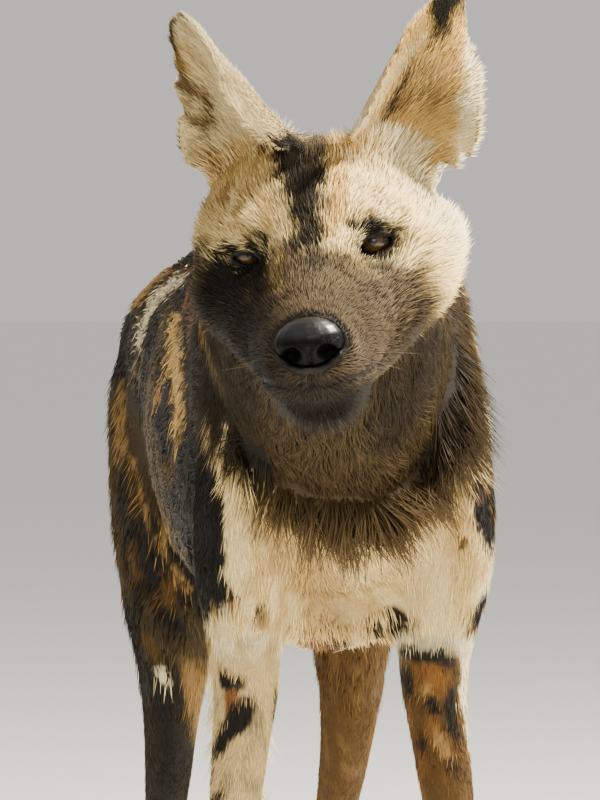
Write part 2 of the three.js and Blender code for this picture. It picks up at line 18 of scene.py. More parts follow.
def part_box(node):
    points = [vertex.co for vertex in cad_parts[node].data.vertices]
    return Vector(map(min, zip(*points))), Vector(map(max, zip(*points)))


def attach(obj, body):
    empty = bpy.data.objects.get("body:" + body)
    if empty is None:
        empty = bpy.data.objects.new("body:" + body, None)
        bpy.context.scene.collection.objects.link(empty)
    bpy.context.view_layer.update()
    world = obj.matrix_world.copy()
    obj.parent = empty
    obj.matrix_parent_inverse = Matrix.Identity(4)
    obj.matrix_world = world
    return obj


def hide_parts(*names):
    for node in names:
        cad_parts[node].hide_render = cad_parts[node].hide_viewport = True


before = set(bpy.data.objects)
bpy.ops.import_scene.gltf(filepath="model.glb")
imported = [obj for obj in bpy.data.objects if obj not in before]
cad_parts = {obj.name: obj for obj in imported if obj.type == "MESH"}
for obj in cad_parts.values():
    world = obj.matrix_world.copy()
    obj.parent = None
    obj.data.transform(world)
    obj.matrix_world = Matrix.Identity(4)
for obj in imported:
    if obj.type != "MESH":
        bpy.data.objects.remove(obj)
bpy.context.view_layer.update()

bl_info = {
    "name": "Wild dog",
    "version": (1, 0, 0),
    "blender": (4, 5, 0),
    "location": "3D View > Sidebar > Wild dog",
    "description": "Skin, coat, eyes, nose and claws of a life-size african wild dog",
    "category": "Object",
}

SEED = 11
BAKE_MAP = "OFBake"

# The viewer: where the camera stands and how it looks, in metres.
DISTANCE = 4.5
FORWARD = Vector((0.139, 0.990, 0.0)).normalized()
RIGHTWARD = Vector((0.990, -0.139, 0.0)).normalized()
AIM_SIDE = -0.00148
AIM_DROP = -0.0203
LENS = 334.0
SENSOR = 36.0
PICTURE = (600, 800)
FOCAL_PIXELS = LENS / SENSOR * PICTURE[1]

# The head's own frame: origin between the eyes, -Y forward, +Z up.
HEAD_PLACE = Vector((-0.04791, -0.43701, 0.640))
HEAD_YAW = -11.0
HEAD_PITCH = 10.0
HEAD_ROLL = -6.5
HEAD = (
    Matrix.Translation(HEAD_PLACE)
    @ Matrix.Rotation(math.radians(HEAD_YAW), 4, "Z")
    @ Matrix.Rotation(math.radians(HEAD_PITCH), 4, "X")
    @ Matrix.Rotation(math.radians(HEAD_ROLL), 4, "Y")
)
SHIFT = np.array((0.01709, -0.14301, 0.0))
CAMERA_PLACE = HEAD_PLACE - FORWARD * DISTANCE

# Neck and tail under their long hair: x, y, z, half width, behind and front, in mm.
NECK_ROWS = (
    (-60, -232, 662, 46, 40, 46),
    (-53, -185, 640, 58, 54, 68),
    (-40, -130, 612, 68, 74, 80),
    (-24, -75, 588, 72, 90, 92),
    (-12, -15, 570, 78, 102, 112),
    (-4, 50, 560, 80, 104, 122),
)
TAIL_ROWS = (
    (13, 590, 600, 20, 20, 20),
    (13, 630, 592, 19, 18, 18),
    (13, 655, 560, 17, 16, 16),
    (13, 668, 500, 16, 15, 15),
    (14, 672, 430, 15, 14, 14),
    (15, 671, 350, 13, 12, 12),
    (16, 666, 285, 9, 8, 8),
    (17, 660, 240, 4, 4, 4),
)

LEGS = [f"{limb}_{side}" for limb in ("foreleg", "hindleg") for side in ("right", "left")]
GROUPS = {
    "head": ["head", "lower_jaw"],
    "ear_right": ["ear_right"],
    "ear_left": ["ear_left"],
    "trunk": ["neck", "torso", "tail_base", "tail_brush"],
}
GROUPS.update({leg: [f"{leg}_{piece}" for piece in ("upper", "lower", "paw")] for leg in LEGS})
FLESH = [node for nodes in GROUPS.values() for node in nodes]
GROUP_NAMES = list(GROUPS)
GROUP_OF = {node: GROUP_NAMES.index(name) for name, nodes in GROUPS.items() for node in nodes}
JOINED = {node: GROUP_OF[node] for node in FLESH}
JOINED.update({"neck": -1, "tail_base": -2, "tail_brush": -2})
CLAWS = [f"{leg}_claw_{toe}" for leg in LEGS for toe in (1, 2, 3, 4)]

# Hair of each part: the size that sets its length and the share of it, then width in metres, lift in
# degrees, tufts to a square centimetre, and how deep the skin lies below the solid in metres.
HAIR = {
    "trunk": ("body_hair", 1.0, 0.0018, 7, 4.5, 0.003),
    "leg": ("leg_hair", 1.4, 0.0012, 9, 12, 0.003),
    "haunch": ("body_hair", 0.8, 0.0016, 11, 5, 0.001),
    "shin": ("leg_hair", 1.0, 0.0010, 7, 17, 0.002),
    "paw": ("leg_hair", 0.75, 0.0009, 8, 20, 0.0015),
    "neck": ("bib_hair", 0.55, 0.0013, 14, 17, 0.0),
    "tail": ("tail_hair", 0.6, 0.0016, 12, 12, 0.001),
    "brush": ("tail_hair", 1.0, 0.0014, 13, 22, 0.0),
    "ear": ("ear_hair", 1.0, 0.0008, 16, 60, 0.0006),
    "chest": ("body_hair", 0.9, 0.0010, 13, 24, 0.004),
}

# The most triangles that one piece may have.
PIECE_LIMIT = 199000

# Shares of two turns of smoothing, the second of which takes back what the first one shrinks.
SMOOTH = (0.5, -0.52)
SMOOTH_SMALL = (0.5, -0.5)
SMALL_VOXEL = 0.0008

# Colours of the small parts and of the floor, as light values.
PUPIL = (0.004, 0.003, 0.003, 1)
EYE_WHITES = ((0.016, 0.011, 0.008, 1), (0.04, 0.028, 0.02, 1))
HORN_LINES = (0.06, 0.045, 0.035, 1)
FLOOR_TONES = ((0.88, 0.88, 0.86, 1), (0.92, 0.92, 0.90, 1))
SKY = (0.92, 0.90, 0.86, 1)
SKY_STRENGTH = 0.72
FLOOR_SIZE = 60.0

# Lamps: place from the chest (to the right, away from the viewer and up, in metres), size in metres,
# watts and colour.
LAMPS = {
    "key": ((2.6, 0.3, 3.4), 0.9, 1020, (1.0, 0.93, 0.80)),
    "fill": ((-2.6, -3.6, 1.6), 3.0, 25, (1.0, 0.96, 0.90)),
    "front": ((0.8, -4.6, 1.2), 2.4, 70, (1.0, 0.98, 0.94)),
}


def srgb(red, green, blue):
    """A screen colour as the light values that the materials take."""
    return tuple(
        c / 12.92 if c <= 0.04045 else ((c + 0.055) / 1.055) ** 2.4
        for c in (red / 255, green / 255, blue / 255)
    )


def colour_property(name, text, *screen):
    """A described colour, given as screen values."""
    return FloatVectorProperty(
        name=name, description=text, default=srgb(*screen), subtype="COLOR", size=3, min=0.0, max=1.0
    )


def length_property(name, text, metres):
    """A described length."""
    return FloatProperty(
        name=name, description=text, default=metres, min=0.0005, max=0.2, unit="LENGTH", precision=4
    )


class WildDogColours(bpy.types.PropertyGroup):
    """Colours of the coat and of the bare parts."""

    cream: colour_property("Cream", "Forehead, cheeks and chest", 240, 214, 154)
    # The white is also partly painted light on the lit side of the face.
    white: colour_property("White", "Fringe of the ears, legs and tail tip", 246, 232, 188)
    gold: colour_property("Gold", "Warm edges of ears and crown", 204, 166, 96)
    # The tan also draws a painted highlight along a fold of the flank.
    tan: colour_property("Tan", "Chest and flank", 160, 124, 72)
    orange: colour_property("Orange", "Patches on legs and flank", 128, 84, 34)
    # The bronze is the brown of the lower legs and also painted shade over the whole left hind leg.
    bronze_and_shade: colour_property("Bronze", "Brown of the lower legs", 90, 64, 27)
    black: colour_property("Black", "Patches on shoulder, flank and legs", 21, 17, 11)
    # The stripe colour also draws a painted shadow line on the left ear.
    stripe: colour_property("Stripe", "Forehead stripe", 46, 40, 32)
    # The mask is also painted shade under the jaw, and partly painted shade on the cheek at the left of
    # the picture.
    mask: colour_property("Mask", "Dark cheek and eye surrounds", 26, 23, 16)
    muzzle: colour_property("Muzzle", "Short hair of the muzzle", 46, 38, 28)
    grizzle: colour_property("Grizzle", "Pale tips of the hair on muzzle and cheek", 101, 84, 60)
    bib: colour_property("Bib", "Long hair below the jaw", 36, 28, 17)
    # The bib tips also serve as painted light over the crease at the bib's lower edge.
    bib_tip: colour_property("Bib tips", "Paler ends of the bib's hair", 90, 73, 46)
    olive: colour_property("Olive", "Brown between the patches of the flank", 64, 51, 27)
    leather: colour_property("Leather", "Nose pad and lips", 5, 5, 5)
    amber: colour_property("Amber", "Iris", 62, 45, 20)
    horn: colour_property("Horn", "Claws", 36, 31, 27)


class WildDogSizes(bpy.types.PropertyGroup):
    """Sizes of the skin and of the coat's tufts."""

    voxel: length_property("Skin detail", "Size of one step of the skin", 0.0041)
    face_hair: length_property("Face hair", "Length of the hair on the muzzle", 0.0070)
    crown_hair: length_property("Crown hair", "Length of the hair on the forehead", 0.013)
    cheek_hair: length_property("Cheek hair", "Length of the hair on the cheeks", 0.018)
    fringe_hair: length_property("Ear fringe", "Length of the hair on the ears' edges", 0.0065)
    ear_hair: length_property("Ear hair", "Length of the hair on the ears' sheets", 0.0095)
    bib_hair: length_property("Bib hair", "Length of the hair below the jaw", 0.044)
    body_hair: length_property("Body hair", "Length of the hair on the trunk", 0.019)
    leg_hair: length_property("Leg hair", "Length of the hair on the legs", 0.0085)
    tail_hair: length_property("Tail hair", "Length of the hair of the tail's brush", 0.044)
    fullness: FloatProperty(
        name="Fullness", description="Share of the coat's tufts", default=1.0, min=0.05, max=1.2
    )


# Small helpers -------------------------------------------------------------------------------


def step(low, high, x):
    """0 below low, 1 above high and a smooth way between them."""
    t = np.clip((x - low) / (high - low), 0, 1)
    return t * t * (3 - 2 * t)


def blend(a, b, t):
    """a where t is 0 and b where it is 1."""
    return a + (b - a) * t


def unit(v):
    """Vectors of length 1."""
    return v / np.maximum(np.linalg.norm(v, axis=-1, keepdims=True), 1e-9)


def wave(co, size, seed):
    """A smooth uneven field of about -1 to 1, whose bumps are about size across."""
    rng = np.random.default_rng(SEED * 1000 + seed)
    total = np.zeros(len(co))
    for _ in range(9):
        direction = unit(rng.normal(size=3)) / size * rng.uniform(2.2, 4.6)
        total += np.sin(co @ direction + rng.uniform(0, 6.283))
    return total / 3.0


def into_head(co):
    """Points in millimetres in the head's own frame."""
    inverse = np.array(HEAD.inverted())
    return (co @ inverse[:3, :3].T + inverse[:3, 3]) * 1000


def in_picture(co):
    """Where points show in the picture, in pixels."""
    away = co - np.array(CAMERA_PLACE)
    depth = away @ np.array(FORWARD)
    across = away @ np.array(RIGHTWARD) / depth
    return (
        PICTURE[0] / 2 + FOCAL_PIXELS * (across - AIM_SIDE),
        PICTURE[1] / 2 - FOCAL_PIXELS * (away[:, 2] / depth - AIM_DROP),
    )


def new_object(name, mesh):
    """An object of the scene, at the origin."""
    obj = bpy.data.objects.new(name, mesh)
    bpy.context.scene.collection.objects.link(obj)
    return obj


def finished(obj, material):
    """Gives a piece its material, and lets it ride on the only body."""
    obj.data.materials.clear()
    obj.data.materials.append(material)
    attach(obj, "root")
    return obj


def merged(node, grow=0.0):
    """A node's solid as one closed bmesh, swollen a little."""
    bm = bmesh.new()
    bm.from_mesh(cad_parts[node].data)
    bmesh.ops.remove_doubles(bm, verts=bm.verts, dist=1e-6)
    bm.normal_update()
    for v in bm.verts:
        v.co += v.normal * grow
    return bm


def through(rows, count):
    """Smooth rows between the given ones."""
    rows = np.array(rows, float)
    padded = np.vstack([2 * rows[0] - rows[1], rows, 2 * rows[-1] - rows[-2]])
    made = []
    for t in np.linspace(0, len(rows) - 1.0001, count):
        k, f = int(t), t - int(t)
        a, b, c, d = padded[k : k + 4]
        square, cube = 2 * a - 5 * b + 4 * c - d, 3 * b - a - 3 * c + d
        made.append(0.5 * (2 * b + (c - a) * f + square * f**2 + cube * f**3))
    return np.array(made)


def loft(rows, count=22, segments=36):
    """A closed form through rings, each wider in front or behind."""
    rows = through(rows, count)
    centres = rows[:, :3] / 1000 + SHIFT
    bm = bmesh.new()
    last = None
    for k, centre in enumerate(centres):
        tangent = Vector(unit(centres[min(k + 1, count - 1)] - centres[max(k - 1, 0)]))
        across = (Vector((1, 0, 0)) - tangent * tangent.x).normalized()
        ahead = tangent.cross(across)
        side, behind, front = rows[k, 3:] / 1000
        ring = bmesh.ops.create_circle(bm, segments=segments, radius=1.0)["verts"]
        for v in ring:
            a, b = v.co.x, v.co.y
            v.co = Vector(centre) + across * side * a + ahead * (front if b > 0 else behind) * b
        edges = list({e for v in ring for e in v.link_edges})
        if last:
            bmesh.ops.bridge_loops(bm, edges=last + edges)
        last = edges
    bmesh.ops.holes_fill(bm, edges=bm.edges, sides=0)
    bmesh.ops.recalc_face_normals(bm, faces=bm.faces)
    return bm


def remeshed(bm, size):
    """The outer surface of what a bmesh holds, as one even mesh."""
    mesh = bpy.data.meshes.new("form")
    bm.to_mesh(mesh)
    bm.free()
    obj = new_object("form", mesh)
    modifier = obj.modifiers.new("Remesh", "REMESH")
    modifier.mode = "VOXEL"
    modifier.voxel_size = size
    bpy.context.view_layer.update()
    shown = obj.evaluated_get(bpy.context.evaluated_depsgraph_get())
    made = bpy.data.meshes.new_from_object(shown)
    bpy.data.objects.remove(obj)
    bpy.data.meshes.remove(mesh)
    return made


def points_of(mesh):
    """A mesh's points as rows."""
    co = np.zeros(len(mesh.vertices) * 3)
    mesh.vertices.foreach_get("co", co)
    return co.reshape(-1, 3)


def smooth(mesh):
    """Shades all faces smooth."""
    mesh.polygons.foreach_set("use_smooth", [True] * len(mesh.polygons))


def set_points(mesh, co):
    """Moves a mesh's points."""
    mesh.vertices.foreach_set("co", np.ascontiguousarray(co, np.float32).ravel())
    mesh.update()


def edges_of(mesh):
    edges = np.zeros(len(mesh.edges) * 2, np.int32)
    mesh.edges.foreach_get("vertices", edges)
    return edges.reshape(-1, 2)


def triangles_of(mesh):
    mesh.calc_loop_triangles()
    tris = np.zeros(len(mesh.loop_triangles) * 3, np.int32)
    mesh.loop_triangles.foreach_get("vertices", tris)
    return tris.reshape(-1, 3)


def normals_of(co, tris):
    faces = np.cross(co[tris[:, 1]] - co[tris[:, 0]], co[tris[:, 2]] - co[tris[:, 0]])
    total = np.zeros_like(co)
    for corner in range(3):
        for axis in range(3):
            total[:, axis] += np.bincount(tris[:, corner], faces[:, axis], len(co))
    return unit(total)


def averaged(values, edges, times, share=0.5):
    """Values blended with those of the neighbours, several times."""
    values = np.array(values, float)
    flat = values.reshape(len(values), -1)
    count = np.maximum(np.bincount(edges.ravel(), minlength=len(flat)), 1)
    for turn in range(times):
        amount = share[turn % len(share)] if isinstance(share, tuple) else share
        near = np.empty_like(flat)
        for axis in range(flat.shape[1]):
            near[:, axis] = np.bincount(edges[:, 0], flat[edges[:, 1], axis], len(flat))
            near[:, axis] += np.bincount(edges[:, 1], flat[edges[:, 0], axis], len(flat))
        flat = flat + (near / count[:, None] - flat) * amount
    return flat.reshape(values.shape)


def set_attribute(mesh, name, kind, values):
    attribute = mesh.attributes.new(name, kind, "POINT")
    key = {"FLOAT": "value", "INT": "value", "FLOAT_VECTOR": "vector", "FLOAT_COLOR": "color"}[kind]
    values = np.asarray(values, np.int32 if kind == "INT" else np.float32)
    if kind == "FLOAT_COLOR":
        values = np.hstack([values, np.ones((len(values), 1), np.float32)])
    attribute.data.foreach_set(key, np.ascontiguousarray(values).ravel())


def get_attribute(mesh, name):
    attribute = mesh.attributes[name]
    wide = attribute.data_type == "FLOAT_VECTOR"
    kind = np.int32 if attribute.data_type == "INT" else float
    values = np.zeros(len(mesh.vertices) * (3 if wide else 1), kind)
    attribute.data.foreach_get("vector" if wide else "value", values)
    return values.reshape(-1, 3) if wide else values


# Markings ------------------------------------------------------------------------------------


def to_outline(x, y, outline):
    """Distance to an outline's edge, above 0 inside it."""
    best = np.full(len(x), 1e9)
    inside = np.zeros(len(x), bool)
    for (ax, ay), (bx, by) in zip(outline, outline[1:] + outline[:1]):
        ex, ey = bx - ax, by - ay
        t = np.clip(((x - ax) * ex + (y - ay) * ey) / (ex * ex + ey * ey), 0, 1)
        best = np.minimum(best, np.hypot(x - ax - t * ex, y - ay - t * ey))
        if ay != by:
            crosses = ((ay > y) != (by > y)) & (x < (bx - ax) * (y - ay) / (by - ay) + ax)
            inside ^= crosses
    return np.where(inside, best, -best)


def to_line(x, y, points):
    """How far inside a line with a width at each point, above 0 inside it."""
    if len(points) == 1:
        points = points * 2
    best = np.full(len(x), -1e9)
    for (ax, ay, aw), (bx, by, bw) in zip(points, points[1:]):
        ex, ey = bx - ax, by - ay
        size = max(ex * ex + ey * ey, 1e-9)
        t = np.clip(((x - ax) * ex + (y - ay) * ey) / size, 0, 1)
        best = np.maximum(best, aw + (bw - aw) * t - np.hypot(x - ax - t * ex, y - ay - t * ey))
    return best


# The long dark hair's lower edge as it shows in the picture, in pixels.
BIB_OUTLINE = [(196, 270), (192, 380), (200, 420), (232, 462), (266, 488), (300, 510), (345, 532),
(380, 526),
               (410, 500), (442, 482), (466, 452), (482, 420), (478, 380), (470, 310), (450, 260)]


# The ears' outlines in the same pixels.
EAR_OUTLINES = {
    "right": [(183, 6), (163, 31), (172, 69), (187, 122), (195, 172), (306, 150), (268, 96), (230, 50),
              (199, 15)],
    "left": [(452, -6), (425, 34), (383, 84), (363, 107), (330, 130), (457, 149), (480, 126), (472, 76),
             (469, 34), (465, -8)],
}


class Painter:
    """Lays one mark over another on a set of points of the skin."""

    def __init__(self, colours, co, normals, node):
        self.colours = {name: np.array(getattr(colours, name)) for name in colours.__annotations__}
        self.co = co
        self.node = node
        self.x, self.y = in_picture(co)
        self.head = into_head(co)
        self.turn = -(normals @ np.array(FORWARD))
        self.seen = step(-0.25, 0.1, self.turn)
        self.normals = normals
        self.colour = np.zeros_like(co)
        self.tip = np.zeros_like(co)
        self.rough = wave(co, 0.011, 1)
        self.fine = wave(co, 0.004, 2)

    def on(self, *names):
        """1 on the nodes whose names start so, 0 elsewhere."""
        picked = [k for k, name in enumerate(FLESH) if any(name.startswith(n) for n in names)]
        return np.isin(self.node, picked).astype(float)

    def lay(self, name, amount, tip=None):
        """Lays a colour, and another one on the tips of the hair."""
        t = np.clip(amount, 0, 1)[:, None]
        self.colour = blend(self.colour, self.colours[name], t)
        self.tip = blend(self.tip, self.colours[tip or name], t)

    def area(self, outline, soft=5.0, ragged=3.5):
        """1 inside an outline of the picture on the side that is seen."""
        inside = to_outline(self.x, self.y, outline) + ragged * (self.rough + 0.5 * self.fine)
        return step(-soft / 2, soft / 2, inside) * self.seen

    def line(self, points, soft, ragged):
        """1 along a line of the picture, given as x, y and half width."""
        inside = to_line(self.x, self.y, points) + ragged * (self.rough + 0.6 * self.fine)
        return step(-soft / 2, soft / 2, inside) * self.seen

    def stroke(self, name, where, points, soft=3.5, ragged=2.0, tip=None):
        """Lays a colour along a line."""
        self.lay(name, where * self.line(points, soft, ragged), tip)

    def marks(self, where, soft, ragged, rows):
        """Lays several lines, each a colour with its points."""
        for name, points in rows:
            self.stroke(name, where, points, soft, ragged)


def paint_species(p):
    """Patches of black, tan, orange and white, as on every side of the species."""
    big = wave(p.co * (1, 0.6, 1), 0.10, 3)
    small = wave(p.co * (1, 0.8, 1), 0.045, 4)
    fleck = wave(p.co, 0.022, 5)
    everywhere = np.ones(len(p.co))
    p.lay("olive", everywhere, "tan")
    p.lay("tan", step(-0.1, 0.25, small + 0.3 * fleck))
    p.lay("black", step(-0.05, 0.1, big + 0.5 * small + 0.15 * fleck))
    p.lay("orange", step(0.62, 0.75, small - 0.4 * big + 0.3 * fleck))
    p.lay("white", step(0.95, 1.1, -big - 0.6 * small + 0.35 * fleck + 0.1))
    legs = p.on("foreleg", "hindleg")
    low = step(0.42, 0.2, p.co[:, 2])
    p.lay("tan", legs * 0.8)
    p.lay("orange", legs * step(0.3, 0.5, small))
    p.lay("white", legs * p.on("foreleg") * step(-0.35, -0.2, big + 0.5 * small))
    p.lay("white", p.on("foreleg", "hindleg") * step(0.12, 0.06, p.co[:, 2] + 0.03 * small))
    p.lay("black", legs * step(0.5, 0.62, fleck + 0.5 * big) * (0.4 + 0.6 * low))
    tail = p.on("tail")
    p.lay("tan", tail)
    height = p.co[:, 2] + 0.01 * small
    p.lay("black", tail * step(0.50, 0.48, height))
    p.lay("white", tail * step(0.385, 0.37, height))


def paint_trunk(p):
    """Chest, shoulder, flank and belly as they show from the front."""
    trunk = p.on("torso", "neck", "foreleg_right_upper", "foreleg_left_upper", "tail_base")
    chest = p.area([(198, 425), (214, 470), (224, 500), (220, 575), (236, 596), (206, 618), (196, 640),
                    (200, 700), (300, 700), (320, 655), (400, 655), (402, 700), (470, 700), (474, 640),
                    (500, 560), (486, 520), (474, 440), (450, 380), (210, 380)])
    front = trunk * chest
    p.lay("cream", front)
    p.lay("gold", front * step(-0.2, 0.6, p.rough + wave(p.co, 0.03, 6) * 0.7) * 0.8, "cream")
    p.stroke("gold", front * 0.75, [(450, 500, 18), (462, 560, 20), (452, 610, 16)], 24, tip="gold")
    p.stroke("tan", front * 0.75, [(262, 505, 20), (300, 550, 28), (325, 600, 20),
                                   (345, 620, 12)], 40, tip="gold")
    p.stroke("cream", front, [(420, 530, 18), (432, 570, 20), (440, 620, 12)], 24)
    p.stroke("cream", front, [(204, 440, 3), (222, 482, 9), (236, 520, 12), (236, 570, 12)], 12)
    side = p.on("torso", "neck", "foreleg_right_upper", "tail_base", "hindleg_right")
    flank = side * p.area([(190, 250), (110, 290), (85, 420), (100, 600), (130, 680), (212, 680),
    (206, 618),
                           (236, 596), (222, 575), (226, 500), (200, 433), (190, 380)])
    p.lay("olive", flank, "bib_tip")
    p.lay("black", flank * step(-0.3, 0.2, wave(p.co * (1, 0.45, 1), 0.04, 8)) * 0.85)
    p.marks(side, 5, 1.5, (
        ("black", [(182, 320, 10), (190, 400, 13), (200, 480, 20), (204, 560, 20), (212, 596, 14)]),
        ("tan", [(138, 300, 5), (152, 280, 6), (170, 266, 6)]),
        ("black", [(116, 316, 5), (114, 340, 6), (120, 365, 5)]),
        ("black", [(158, 306, 5), (152, 330, 7), (150, 360, 6)]),
        ("white", [(138, 346, 2), (146, 318, 3), (160, 294, 3.5), (186, 274, 3)]),
        ("grizzle", [(140, 360, 2.5), (139, 377, 2.5)]),
        ("gold", [(178, 318, 6), (178, 360, 8), (180, 404, 6), (178, 438, 3)]),
        ("tan", [(122, 378, 2.5), (121, 420, 3.5), (124, 458, 2.5)]),
        ("tan", [(160, 380, 3), (156, 400, 3)]),
        ("black", [(168, 404, 5), (164, 428, 7), (168, 450, 5)]),
        ("black", [(124, 470, 5), (124, 500, 6), (130, 530, 5)]),
        ("bronze_and_shade", [(131, 546, 5), (134, 566, 6), (140, 580, 4)]),
        ("black", [(150, 530, 6), (152, 560, 8), (160, 584, 6)]),
        ("tan", [(164, 520, 4), (166, 545, 4)]),
        ("bronze_and_shade", [(164, 575, 6), (170, 600, 7)]),
        ("black", [(136, 592, 5), (140, 614, 5)]),
        ("black", [(156, 610, 5), (176, 622, 9), (188, 636, 5)]),
        ("bronze_and_shade", [(146, 636, 5), (156, 652, 6)]),
        # Painted highlight: a thin light line along a fold of the flank's skin.
        ("tan", [(134, 462, 1.0), (142, 500, 1.2), (150, 528, 1.2), (167, 560, 1.2), (189, 590, 1.0)]),
        ("grizzle", [(178, 532, 2), (186, 556, 2)]),
    ))
    far = trunk * p.area([(476, 430), (470, 470), (472, 520), (488, 548), (500, 548), (520, 540),
                          (520, 420)], 4, 2)
    p.lay("black", far)
    p.marks(trunk, 4, 1.5, (
        ("orange", [(484, 432, 4), (482, 456, 5)]),
        ("orange", [(490, 470, 2), (486, 492, 2)]),
        ("orange", [(496, 511, 4)]),
        ("white", [(500, 545, 7), (498, 572, 9), (486, 592, 6)]),
        ("olive", [(463, 543, 8)]),
        ("orange", [(465, 543, 5)]),
        ("black", [(494, 590, 6), (480, 612, 7), (470, 640, 6)]),
        ("orange", [(474, 628, 5)]),
        ("bib", [(262, 612, 8), (262, 620, 8)]),
        ("muzzle", [(262, 616, 5)]),
        ("black", [(388, 612, 7), (398, 620, 10), (410, 620, 6)]),
        ("black", [(374, 622, 7)]),
        ("orange", [(312, 640, 10), (335, 645, 10)]),
        ("black", [(330, 633, 8), (342, 636, 6)]),
        ("cream", [(358, 646, 8), (378, 646, 7)]),
    ))


def paint_legs(p):
    """White, orange and black of the fore legs, and the tan hind legs, the left one darkened all over
    with painted shade.
    """
    right = p.on("foreleg_right")
    left = p.on("foreleg_left")
    below = step(640, 665, p.y) * p.seen
    p.lay("cream", right * below, "cream")
    p.lay("gold", right * below * 0.4)
    p.lay("grizzle", right * below * (0.2 + 0.5 * step(0.2, 0.9, p.rough)), "cream")
    p.lay("gold", right * step(0.2, 0.8, p.rough) * step(700, 630, p.y) * step(590, 620, p.y)
          * p.seen * 0.6)
    p.marks(right, 4, 2, (
        ("black", [(228, 680, 9), (238, 684, 8)]),
        ("orange", [(232, 698, 9), (234, 712, 6)]),
        ("black", [(246, 702, 8), (236, 722, 12), (220, 742, 9), (212, 756, 4)]),
        ("olive", [(222, 726, 4)]),
        ("bib", [(280, 690, 5), (278, 712, 8), (276, 736, 3)]),
        ("black", [(288, 672, 4), (283, 690, 4)]),
        ("black", [(214, 798, 7)]),
        ("black", [(266, 800, 6)]),
        ("muzzle", [(208, 770, 2), (208, 790, 2)]),
    ))
    p.lay("bronze_and_shade", left * below)
    p.lay("orange", left * below * step(0.1, 0.7, p.rough) * 0.6, "tan")
    p.stroke("white", left, [(468, 650, 7), (469, 690, 7), (473, 745, 6)], 3, tip="cream")
    p.marks(left, 4, 2, (
        ("black", [(404, 650, 6), (420, 654, 7), (440, 657, 8), (452, 664, 4)]),
        ("black", [(404, 672, 6), (408, 690, 4)]),
        ("orange", [(430, 674, 11), (446, 678, 7)]),
        ("tan", [(424, 690, 6)]),
        ("black", [(416, 700, 3), (430, 704, 6), (440, 712, 4)]),
        ("black", [(452, 686, 3), (450, 704, 7), (452, 726, 7), (460, 738, 3)]),
        ("tan", [(440, 736, 5), (448, 754, 6)]),
        ("black", [(420, 732, 3), (424, 748, 3)]),
        ("black", [(452, 764, 4), (464, 772, 4)]),
        ("muzzle", [(458, 784, 4)]),
    ))
    hind = p.on("hindleg_left")
    # Painted shade: the left hind leg stands behind the fore leg and is laid all over in the dark bronze.
    p.lay("bronze_and_shade", hind * p.seen)
    p.lay("tan", hind * p.seen * step(0.2, 0.9, p.rough) * 0.25)
    p.stroke("orange", hind * 0.6, [(392, 690, 5), (385, 720, 5), (370, 760, 5)], 6)
    hind = p.on("hindleg_right")
    low = step(650, 672, p.y) * p.seen
    p.lay("black", hind * low, "olive")
    p.stroke("tan", hind * low * 0.8, [(196, 660, 16), (204, 700, 14), (202, 730, 8)], 14, tip="gold")
    p.stroke("black", hind, [(164, 694, 7), (168, 740, 9), (168, 800, 8)], 6)
    p.stroke("white", hind, [(156, 672, 3), (164, 670, 4), (168, 682, 3)], 4, tip="cream")


def paint_bib(p):
    """Long dark hair under the jaw and over the front of the neck, and the neck's sides, with painted
    shade on the bib under the jaw and painted light over the crease at its lower edge.
    """
    neck = p.on("neck", "torso", "lower_jaw", "foreleg_right_upper", "foreleg_left_upper")
    bib = neck * p.area(BIB_OUTLINE, 9, 7)
    p.lay("bib", bib, "bib_tip")
    # Painted shade: the upper bib, under the jaw, is darkened with the mask colour.
    p.lay("mask", bib * 0.4 * step(490, 460, p.y), "bib_tip")
    p.stroke("bib", bib * 0.8, [(458, 330, 14), (462, 390, 20), (440, 440, 24), (400, 450, 10)], 24,
             tip="grizzle")
    p.stroke("mask", bib * 0.75, [(226, 320, 26), (236, 370, 30), (250, 400, 16)], 24, tip="bib")
    p.stroke("mask", bib * 0.8, [(420, 330, 24), (400, 380, 28), (380, 410, 20)], 24, tip="bib")
    p.stroke("bib_tip", bib * 0.4, [(214, 410, 12), (240, 436, 14)], 16, tip="grizzle")
    # Painted light: the next two pale strokes lighten the shadow of the crease along the bib's lower
    # edge.
    p.stroke("bib_tip", bib * 0.6, [(250, 476, 6), (300, 494, 9), (345, 500, 9), (400, 492, 8),
                                    (432, 468, 6)], 14, tip="grizzle")
    p.stroke("bib_tip", bib * 0.5, [(300, 500, 16), (345, 516, 20), (400, 500, 14)], 22)
    p.stroke("mask", bib * 0.75, [(192, 290, 16), (204, 360, 26), (224, 430, 28), (256, 452, 16)], 30,
             tip="bib")
    nape = p.on("neck") * (1 - p.seen)
    p.lay("tan", nape * step(-0.2, 0.6, p.rough + p.normals[:, 2]), "gold")
    middle = np.exp(-((p.co[:, 0] + 0.035) / 0.02) ** 2) * step(0.2, 0.6, p.normals[:, 2])
    p.lay("black", p.on("neck") * middle)


